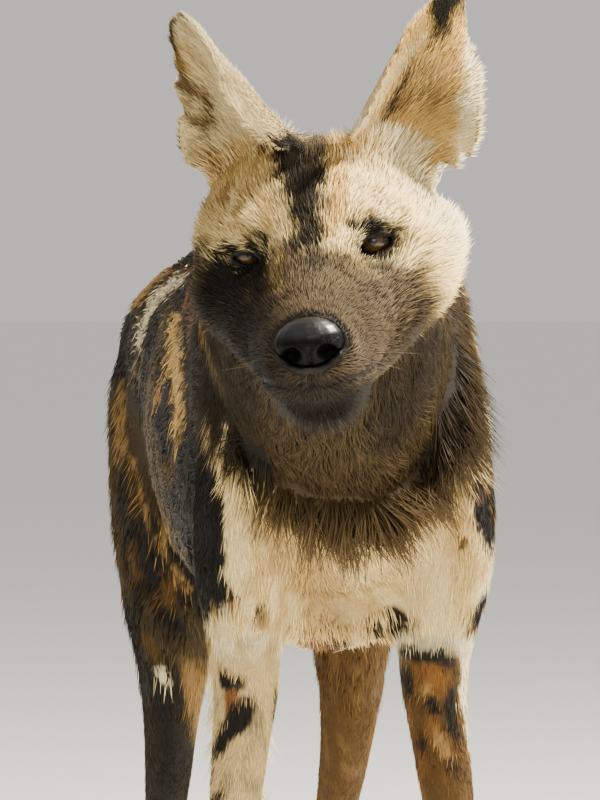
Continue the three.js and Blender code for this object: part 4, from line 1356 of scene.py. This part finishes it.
class WILDDOG_OT_skin(bpy.types.Operator):
    """Makes the seamless skin with its lids, lips and folds"""

    bl_idname = "wilddog.skin"
    bl_label = "Skin"

    def execute(self, context):
        sizes = context.scene.wild_dog_sizes
        mesh = remeshed(flesh_form(), sizes.voxel)
        split_face(mesh)
        co = fitted(mesh, sizes)
        tree = BVHTree.FromPolygons([Vector(c) for c in co], triangles_of(mesh).tolist())
        patches = bmesh.new()
        for side in EYES:
            lids(patches, side, tree)
        bmesh.ops.recalc_face_normals(patches, faces=patches.faces)
        co, covered = sunk_behind_lids(co)
        set_points(mesh, co)
        set_attribute(mesh, "covered", "FLOAT", covered)
        add_lids(mesh, patches)
        self.write_plan(mesh, sizes)
        smooth(mesh)
        skin = new_object("skin", mesh)
        mesh.name = "skin"
        finished(skin, skin_material())
        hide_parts(*FLESH)
        print("skin triangles", len(triangles_of(mesh)))
        return {"FINISHED"}

    def write_plan(self, mesh, sizes):
        """Stores markings, lie, length and number of the hair on the skin."""
        co, edges, tris = points_of(mesh), edges_of(mesh), triangles_of(mesh)
        normals = normals_of(co, tris)
        node = nearest_nodes(co)
        covered = get_attribute(mesh, "covered")
        length, width, lift, density, _ = coat_plan(co, normals, node, sizes)
        flow = hair_flow(co, unit(averaged(normals, edges, 4)), node)
        length, width, lift = (averaged(a, edges, 14) for a in (length, width, lift))
        ears = np.isin(np.array(FLESH)[node], ("ear_right", "ear_left")).astype(float)
        share = averaged(ears, edges, 36)
        by_ear = step(0.25, 0.8, 4 * share * (1 - share))
        length = blend(length, sizes.cheek_hair * 0.9, by_ear)
        across, level = in_picture(co)
        notch = step(422, 432, across) * step(200, 186, level) * step(146, 158, level)
        notch *= np.array(FLESH)[node] == "head"
        lift = blend(lift, blend(14, 30, step(196, 220, across)), by_ear)
        lift = blend(lift, 56, notch)
        length = blend(length, 0.026, notch)
        density = np.where(density > 0, blend(density, 34, by_ear), 0)
        flow = averaged(flow, edges, 12)
        flow = unit(flow - normals * np.sum(flow * normals, 1)[:, None])
        bare = np.zeros(len(co))
        for side in EYES:
            middle, across, up, out = (np.array(a) for a in eye_frame(side))
            away = (co - middle) * 1000
            x, y = away @ across, away @ up
            eye = EYES[side]
            apart = np.hypot(x / (eye["width"] + 1.6), y / (0.5 * (eye["upper"] + eye["lower"]) + 1.8))
            rim = step(1.12, 0.95, apart) * (away @ out > 0)
            bare = np.maximum(bare, rim)
            near = np.hypot(x, y)
            close = (near < 30) & (away @ out > 0)
            length = np.where(close, length * blend(0.5, 1.0, step(10, 26, near)), length)
            density = np.where(close & (covered > 0), 0.0, density)
        x, y, z = into_head(co).T
        lips = np.exp(-(((z + 62 + 0.05 * (y + 75)) / 1.8) ** 2)) * step(-30, -50, y)
        by_nose = step(22.5, 20.0, np.hypot(x, (z - NOSE_HEIGHT) * NOSE_WIDTH)) * step(-98, -103, y)
        bare = np.maximum(bare, np.maximum(lips * 0.7, by_nose))
        density = density * (1 - step(0.3, 0.8, bare))
        density[(co[:, 2] < 0.012) & (normals[:, 2] < -0.4)] = 0
        colour, _ = paint(co, normals, node)
        set_attribute(mesh, "coat_colour", "FLOAT_COLOR", colour)
        set_attribute(mesh, "bare", "FLOAT", bare)
        set_attribute(mesh, "flow", "FLOAT_VECTOR", flow)
        for name, values in (("hair_length", length), ("hair_width", width), ("hair_lift", lift),
                             ("hair_density", density)):
            set_attribute(mesh, name, "FLOAT", values)
        set_attribute(mesh, "node", "INT", node)
        map_skin(mesh, co, normals, np.array([GROUP_OF[n] for n in FLESH])[node])


# Coat ----------------------------------------------------------------------------------------


def skin_object():
    """The skin, which the hair grows on."""
    skin = bpy.data.objects.get("skin")
    if skin is None:
        raise RuntimeError("the hair needs the skin first")
    return skin


# A tuft: how deep its root is set and how far it stays above the ground in metres, the share of its
# width that it loses up to the last ring, its thickness for its width, and how much lie and curl vary.
ROOT_DEPTH = 0.0012
GROUND_GAP = 0.0003
TAPER = 0.62
THICKNESS = 0.38
LIE_VARIES = 0.11
CURL_VARIES = 0.10

# Long hair forms locks of so many tufts; it is loose below the first length and all in locks from the
# second one on, in metres.
LOCK_TUFTS = 16
LOCK_LENGTHS = (0.010, 0.022)


def tuft_mesh(name, hair, place, rng, parts):
    """One mesh of closed tapered tufts, each bending down along the coat."""
    keys = ("root", "normal", "flow", "length", "width")
    root, normal, flow, length, width = (hair[key] for key in keys)
    count = len(root)
    side = unit(np.cross(flow, normal))
    flow = unit(flow + side * rng.normal(0, LIE_VARIES, count)[:, None])
    side = unit(np.cross(flow, normal))
    curl = (hair["curl"] + rng.normal(0, CURL_VARIES, count))[:, None]
    centre = root - normal * np.minimum(ROOT_DEPTH, length * 0.05)[:, None]
    angles = np.radians(hair["lift"])[:, None] * rng.uniform(0.6, 1.4, count)[:, None]
    rings = parts + 1
    per = rings * 3 + 1
    verts = np.zeros((count, per, 3))
    along = np.zeros((count, per))
    piece = (length / rings)[:, None]
    for k in range(rings):
        t = k / rings
        size = (width * (1.0 - TAPER * t**1.5))[:, None]
        verts[:, k * 3] = centre - side * size * 0.5
        verts[:, k * 3 + 1] = centre + side * size * 0.5
        verts[:, k * 3 + 2] = centre + normal * size * THICKNESS
        along[:, k * 3 : k * 3 + 3] = t
        bend = angles * (1.0 - 0.85 * t)
        heading = unit(flow * np.cos(bend) + normal * np.sin(bend) + side * curl * (1.6 * t - 0.3))
        centre = centre + heading * piece
    verts[:, -1] = centre
    verts[:, :, 2] = np.maximum(verts[:, :, 2], GROUND_GAP)
    along[:, -1] = 1.0
    faces = [(0, 2, 1)]
    for k in range(rings - 1):
        a = k * 3
        for i, j in ((0, 1), (1, 2), (2, 0)):
            faces += [(a + i, a + j, a + 3 + j), (a + i, a + 3 + j, a + 3 + i)]
    a = (rings - 1) * 3
    faces += [(a + i, a + j, per - 1) for i, j in ((0, 1), (1, 2), (2, 0))]
    faces = np.array(faces, np.int32)
    every = (faces[None] + (np.arange(count) * per)[:, None, None]).reshape(-1, 3)
    mesh = bpy.data.meshes.new(name)
    mesh.vertices.add(count * per)
    mesh.loops.add(every.size)
    mesh.polygons.add(len(every))
    mesh.vertices.foreach_set("co", verts.astype(np.float32).ravel())
    mesh.loops.foreach_set("vertex_index", every.ravel())
    mesh.polygons.foreach_set("loop_start", np.arange(0, every.size, 3, dtype=np.int32))
    mesh.polygons.foreach_set("loop_total", np.full(len(every), 3, np.int32))
    mesh.polygons.foreach_set("use_smooth", np.ones(len(every), bool))
    mesh.update(calc_edges=True)
    set_attribute(mesh, "coat_colour", "FLOAT_COLOR", np.repeat(hair["colour"], per, 0))
    set_attribute(mesh, "tip_colour", "FLOAT_COLOR", np.repeat(hair["tip"], per, 0))
    set_attribute(mesh, "along", "FLOAT", along.ravel())
    set_attribute(mesh, "tone", "FLOAT", np.repeat(hair["tone"], per))
    level = np.linspace(-1, 0.7, rings + 1)[:rings]
    offset = np.stack([np.tile([-1, 1, 0], rings), np.repeat(level, 3)], 1)
    offset = np.vstack([offset, (0, 1)]) * 0.0015
    uv = (place[:, None] + offset[None]).reshape(-1, 2)
    layer = mesh.uv_layers.new(name=BAKE_MAP)
    layer.data.foreach_set("uv", uv[every.ravel()].astype(np.float32).ravel())
    return mesh


def gather(hair, rng):
    """Long hair leans together into locks that share their curl and tone."""
    root, length = hair["root"], hair["length"]
    count = len(root)
    heads = np.sort(rng.choice(count, count // LOCK_TUFTS, replace=False))
    tree = KDTree(len(heads))
    for k, head in enumerate(heads):
        tree.insert(root[head], k)
    tree.balance()
    lock = np.array([tree.find(r)[1] for r in root])
    long = step(*LOCK_LENGTHS, length)
    pull = (root[heads[lock]] - root) / length[:, None]
    size = np.linalg.norm(pull, axis=1, keepdims=True)
    pull = pull / np.maximum(size, 1e-6) * np.minimum(size, 0.6)
    flow = unit(hair["flow"] + pull * (0.75 * long)[:, None])
    normal = hair["normal"]
    hair["flow"] = unit(flow - normal * np.sum(flow * normal, 1)[:, None])
    hair["curl"] = rng.normal(0, 0.22, len(heads))[lock] * long
    tone = rng.uniform(0, 1, len(heads))[lock]
    hair["tone"] = blend(rng.uniform(0, 1, count), tone, 0.55 * long)


def sample(co, tris, density, rng):
    """Even places on the skin, with so many tufts to a square centimetre."""
    a, b, c = (co[tris[:, corner]] for corner in range(3))
    area = np.linalg.norm(np.cross(b - a, c - a), axis=1) / 2
    load = np.cumsum(area * 10000 * density[tris].min(1))
    count = int(load[-1])
    picks = (np.arange(count) + rng.uniform(0, 1, count)) / count * load[-1]
    chosen = np.minimum(np.searchsorted(load, picks), len(tris) - 1)
    a, b = rng.uniform(0, 1, count), rng.uniform(0, 1, count)
    flip = a + b > 1
    a[flip], b[flip] = 1 - a[flip], 1 - b[flip]
    return chosen, np.stack([1 - a - b, a, b], 1)


# Where the coat's pieces meet: the muzzle and the face in the head's frame in mm; the bib and the trunk,
# and the two halves of each, in metres.
MUZZLE_BACK = -45
BIB_BACK = -0.225
BIB_MIDDLE = -0.006
TRUNK_MIDDLE = 0.016


class WILDDOG_OT_coat(bpy.types.Operator):
    """Grows the coat's tufts over the skin"""

    bl_idname = "wilddog.coat"
    bl_label = "Coat"

    def execute(self, context):
        skin = skin_object()
        mesh = skin.data
        co, tris = points_of(mesh), triangles_of(mesh)
        normals = normals_of(co, tris)
        plan = {name: get_attribute(mesh, name) for name in (
            "flow", "hair_length", "hair_width", "hair_lift", "hair_density", "node")}
        rng = np.random.default_rng(SEED)
        density = plan["hair_density"] * context.scene.wild_dog_sizes.fullness
        chosen, share = sample(co, tris, density, rng)
        corners = tris[chosen]

        def at(values):
            share_of = share if values.ndim == 1 else share[..., None]
            return np.sum(values[corners] * share_of, 1)

        root, normal, flow = at(co), unit(at(normals)), unit(at(plan["flow"]))
        node = plan["node"][corners[:, 0]]
        length = at(plan["hair_length"]) * rng.uniform(0.7, 1.25, len(root))
        swirl = np.stack([wave(root, 0.016, 42 + k) for k in range(3)], 1)
        flow = unit(flow + swirl * (0.08 + 0.30 * step(0.012, 0.03, length)[:, None]))
        colour, tip = paint(root + rng.normal(0, 0.0015, root.shape), normal, node)
        hair = {
            "root": root,
            "normal": normal,
            "flow": unit(flow - normal * np.sum(flow * normal, 1)[:, None]),
            "length": length,
            "width": at(plan["hair_width"]) * rng.uniform(0.75, 1.25, len(root)),
            "lift": at(plan["hair_lift"]) * (1 + 0.3 * wave(root, 0.02, 41)),
            "colour": colour,
            "tip": tip,
        }
        gather(hair, rng)
        group = np.array([GROUP_OF[n] for n in FLESH])[node]
        material = coat_material()
        total = 0
        for name, pick, slot, parts in self.pieces(root, node, group):
            index = np.flatnonzero(pick)
            if len(index) == 0:
                raise RuntimeError(f"{name} has no tufts")
            if len(index) * (6 * parts + 4) > PIECE_LIMIT:
                raise RuntimeError(f"{name} has too many tufts: {len(index)}")
            alone = np.zeros(len(index), int)
            place = box_map(root[index], normal[index], alone, group_limits(root[index], alone), 3)
            picked = {key: values[index] for key, values in hair.items()}
            made = tuft_mesh("coat_" + name, picked, place, rng, parts)
            finished(new_object("coat_" + name, made), material)
            total += len(made.polygons)
            print("coat", name, len(index), "tufts", len(made.polygons), "triangles")
        print("coat triangles", total)
        return {"FINISHED"}

    def pieces(self, root, node, group):
        """Names of the coat's pieces, the tufts of each, its slot and the bends of a tuft."""
        names = np.array(FLESH)[node]
        x, y, _ = into_head(root).T
        head = (names == "head") | (names == "lower_jaw")
        muzzle = y < MUZZLE_BACK
        bib = ((names == "neck") | (names == "torso")) & (root[:, 1] < BIB_BACK)
        trunk = ((names == "torso") | (names == "tail_base")) & ~bib
        for name, pick, right, slot, parts in (
            ("muzzle", head & muzzle, x < 0, "coat_muzzle", 0),
            ("face", head & (y < 0) & ~muzzle, x < 0, "coat_head", 1),
            ("crown", head & ~(y < 0), x < 0, "coat_head", 1),
            ("ear", np.char.startswith(names, "ear"), names == "ear_right", "coat_head", 0),
            ("bib", bib, root[:, 0] < BIB_MIDDLE, "coat_bib", 2),
            ("nape", (names == "neck") & ~bib, None, "coat_bib", 1),
            ("trunk", trunk, root[:, 0] < TRUNK_MIDDLE, "coat_body", 1),
            ("tail", names == "tail_brush", None, "coat_tail", 2),
        ):
            if right is None:
                yield name, pick, slot, parts
            else:
                yield name + "_right", pick & right, slot, parts
                yield name + "_left", pick & ~right, slot, parts
        for leg in LEGS:
            yield leg, group == GROUP_NAMES.index(leg), "coat_legs", 0


# Eyes, nose and claws ------------------------------------------------------------------------


class WILDDOG_OT_eyes(bpy.types.Operator):
    """Makes the two eyes with cornea, iris and pupil"""

    bl_idname = "wilddog.eyes"
    bl_label = "Eyes"

    def execute(self, context):
        material = eye_material()
        for side in EYES:
            middle = eye_frame(side)[0]
            gaze = (CAMERA_PLACE - middle).normalized()
            turn = gaze.to_track_quat("Z", "Y").to_matrix().to_4x4()
            bm = bmesh.new()
            ball = EYE_RADIUS / 1000
            bmesh.ops.create_uvsphere(bm, u_segments=64, v_segments=48, radius=ball)
            radius, around = [], []
            for v in bm.verts:
                off = math.hypot(v.co.x, v.co.y) / ball
                front = v.co.z > 0
                radius.append(off if front else 1.0)
                angle = math.atan2(v.co.y, v.co.x)
                around.append((math.cos(angle), math.sin(angle), off * 0.35))
                if front:
                    v.co.z += CORNEA * float(step(0.62, 0.2, np.array(off)))
            bmesh.ops.transform(bm, matrix=Matrix.Translation(middle) @ turn, verts=bm.verts)
            mesh = bpy.data.meshes.new("eyeball_" + side)
            bm.to_mesh(mesh)
            bm.free()
            set_attribute(mesh, "radius", "FLOAT", radius)
            set_attribute(mesh, "around", "FLOAT_VECTOR", around)
            smooth(mesh)
            eye = finished(new_object("eyeball_" + side, mesh), material)
            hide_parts("eye_" + side)
        return {"FINISHED"}


# Nostrils and their side slits in the head's frame: how far aside and up, half width and half height,
# in mm.
NOSTRIL = (10.8, -42.0, 6.6, 6.4)
SLIT = (16.5, -45.0, 6.5, 3.0)
NOSTRIL_DEPTH = 8.0
GROOVE_DEPTH = 2.6
RIM_HEIGHT = 0.8


class WILDDOG_OT_nose(bpy.types.Operator):
    """Makes the moist nose pad"""

    bl_idname = "wilddog.nose"
    bl_label = "Nose"

    def execute(self, context):
        mesh = remeshed(merged("nose"), SMALL_VOXEL)
        co = averaged(points_of(mesh), edges_of(mesh), 10, SMOOTH_SMALL)
        x, _, z = into_head(co).T
        ahead = np.array(HEAD.to_3x3() @ Vector((0, -1, 0)))
        facing = step(-0.1, 0.25, normals_of(co, triangles_of(mesh)) @ ahead)
        hollow = np.zeros(len(co))
        for sign in (-1, 1):
            aside, up, wide, high = NOSTRIL
            hole = 1 - np.hypot((x - sign * aside) / wide, (z - up) / high)
            aside, up, wide, high = SLIT
            slit = 1 - np.hypot((x - sign * aside) / wide, (z - up - 0.3 * (sign * x - 16)) / high)
            hollow = np.maximum(hollow, np.maximum(step(0.0, 0.55, hole), 0.8 * step(0.0, 0.8, slit)))
        groove = np.exp(-((x / 1.7) ** 2)) * step(-36, -42, z)
        ring = np.hypot((np.abs(x) - 11) / 9.2, (z + 43.5) / 7.4)
        rim = np.exp(-((ring - 1) / 0.16) ** 2) * step(-50, -44, z)
        depth = facing * (NOSTRIL_DEPTH * hollow + GROOVE_DEPTH * groove - RIM_HEIGHT * rim)
        aside = np.array(HEAD.to_3x3() @ Vector((1, 0, 0)))
        inward = x * 0.26 * step(-43, -54, z)
        co = co - ahead * (depth / 1000)[:, None] - aside * (inward / 1000)[:, None]
        set_points(mesh, averaged(co, edges_of(mesh), 2))
        set_attribute(mesh, "hollow", "FLOAT", step(0.05, 0.4, hollow))
        set_attribute(mesh, "moist", "FLOAT", step(-34, -27, z) * (1 - hollow))
        smooth(mesh)
        nose = finished(new_object("nose_pad", mesh), nose_material())
        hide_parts("nose")
        return {"FINISHED"}


class WILDDOG_OT_claws(bpy.types.Operator):
    """Makes the sixteen claws"""

    bl_idname = "wilddog.claws"
    bl_label = "Claws"

    def execute(self, context):
        material = claw_material()
        for name in CLAWS:
            mesh = remeshed(merged(name), SMALL_VOXEL)
            set_points(mesh, averaged(points_of(mesh), edges_of(mesh), 8, SMOOTH_SMALL))
            smooth(mesh)
            claw = finished(new_object("horn_" + name, mesh), material)
            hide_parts(name)
        return {"FINISHED"}


# Whiskers on the lips, with their length and width in metres, and the short pale hairs below the nose.
WHISKERS = 16
WHISKER_LENGTH = 0.028
WHISKER_WIDTH = 0.00035
LIP_HAIRS = 3


class WILDDOG_OT_whiskers(bpy.types.Operator):
    """Sets the whiskers on the lips and the few pale hairs below the nose"""

    bl_idname = "wilddog.whiskers"
    bl_label = "Whiskers"

    def execute(self, context):
        skin = skin_object()
        co = points_of(skin.data)
        normals = normals_of(co, triangles_of(skin.data))
        x, y, z = into_head(co).T
        rng = np.random.default_rng(SEED + 5)
        beds = np.flatnonzero((y < -60) & (y > -104) & (z > -58) & (z < -42) & (np.abs(x) > 16))
        below = np.flatnonzero((y < -98) & (z > -60) & (z < -54) & (np.abs(x) < 13))
        numbers = (WHISKERS, LIP_HAIRS)
        picks = [rng.choice(bed, many, replace=False) for bed, many in zip((beds, below), numbers)]
        index = np.concatenate(picks)
        count = len(index)
        long = np.repeat((1.0, 0.2), numbers)
        rotation = np.array(HEAD.to_3x3())
        sign = np.sign(x[index])
        flow = np.stack([0.9 * sign, 0.5 * long, -0.35 - 0.5 * (long < 1)], 1) @ rotation.T
        colours = context.scene.wild_dog_colours
        pale = (rng.uniform(0, 1, count) < 0.3)[:, None] | (long < 1)[:, None]
        colour = np.where(pale, np.array(colours.grizzle), np.array(colours.black))
        hair = {
            "root": co[index],
            "normal": normals[index],
            "flow": unit(flow),
            "length": WHISKER_LENGTH * long * rng.uniform(0.7, 1.2, count),
            "width": np.full(count, WHISKER_WIDTH),
            "lift": np.full(count, 24.0),
            "curl": np.zeros(count),
            "tone": np.full(count, 0.8),
            "colour": colour,
            "tip": colour,
        }
        place = np.stack([(np.arange(count) % 5 + 0.5) / 5, (np.arange(count) // 5 + 0.5) / 5], 1)
        mesh = tuft_mesh("whiskers", hair, place, rng, 3)
        finished(new_object("whiskers", mesh), bpy.data.materials["coat"])
        return {"FINISHED"}


# Stage ---------------------------------------------------------------------------------------


class WILDDOG_OT_stage(bpy.types.Operator):
    """Sets up the floor, the lights and the camera"""

    bl_idname = "wilddog.stage"
    bl_label = "Stage"

    def execute(self, context):
        scene = context.scene
        bm = bmesh.new()
        bmesh.ops.create_grid(bm, x_segments=2, y_segments=2, size=FLOOR_SIZE)
        mesh = bpy.data.meshes.new("floor")
        bm.to_mesh(mesh)
        bm.free()
        mesh.materials.append(floor_material())
        new_object("floor", mesh)
        world = bpy.data.worlds.new("studio")
        world.use_nodes = True
        sky = world.node_tree.nodes["Background"]
        sky.inputs["Color"].default_value = SKY
        sky.inputs["Strength"].default_value = SKY_STRENGTH
        scene.world = world
        chest = HEAD_PLACE + Vector((0.05, 0.3, -0.1))
        for name, ((right, away, up), size, energy, colour) in LAMPS.items():
            place = RIGHTWARD * right + Vector((0, 0, up)) + FORWARD * away
            light = bpy.data.lights.new(name, "AREA")
            light.shape = "DISK"
            light.size = size
            light.energy = energy
            light.color = colour
            lamp = bpy.data.objects.new(name, light)
            lamp.location = chest + place
            lamp.rotation_euler = (-place).to_track_quat("-Z", "Y").to_euler()
            scene.collection.objects.link(lamp)
        camera = bpy.data.cameras.new("viewer")
        camera.lens = LENS
        camera.sensor_width = SENSOR
        camera.clip_end = 200
        viewer = bpy.data.objects.new("viewer", camera)
        viewer.location = CAMERA_PLACE
        aim = FORWARD + RIGHTWARD * AIM_SIDE + Vector((0, 0, AIM_DROP))
        viewer.rotation_euler = aim.to_track_quat("-Z", "Y").to_euler()
        scene.collection.objects.link(viewer)
        scene.camera = viewer
        return {"FINISHED"}


class WILDDOG_PT_panel(bpy.types.Panel):
    """Lists the pieces of the wild dog"""

    bl_idname = "WILDDOG_PT_panel"
    bl_label = "Wild dog"
    bl_space_type = "VIEW_3D"
    bl_region_type = "UI"
    bl_category = "Wild dog"

    def draw(self, context):
        for group in (context.scene.wild_dog_sizes, context.scene.wild_dog_colours):
            for name in group.__annotations__:
                self.layout.prop(group, name)
        for operator in OPERATORS:
            self.layout.operator(operator.bl_idname)


OPERATORS = (
    WILDDOG_OT_stage,
    WILDDOG_OT_skin,
    WILDDOG_OT_coat,
    WILDDOG_OT_whiskers,
    WILDDOG_OT_eyes,
    WILDDOG_OT_nose,
    WILDDOG_OT_claws,
)
CLASSES = (WildDogColours, WildDogSizes, *OPERATORS, WILDDOG_PT_panel)


def register():
    for cls in CLASSES:
        bpy.utils.register_class(cls)
    bpy.types.Scene.wild_dog_colours = PointerProperty(type=WildDogColours)
    bpy.types.Scene.wild_dog_sizes = PointerProperty(type=WildDogSizes)


def unregister():
    del bpy.types.Scene.wild_dog_colours
    del bpy.types.Scene.wild_dog_sizes
    for cls in reversed(CLASSES):
        bpy.utils.unregister_class(cls)


def main():
    """Builds everything."""
    register()
    bpy.ops.wilddog.stage()
    bpy.ops.wilddog.skin()
    bpy.ops.wilddog.coat()
    bpy.ops.wilddog.whiskers()
    bpy.ops.wilddog.eyes()
    bpy.ops.wilddog.nose()
    bpy.ops.wilddog.claws()


if __name__ == "__main__":
    main()
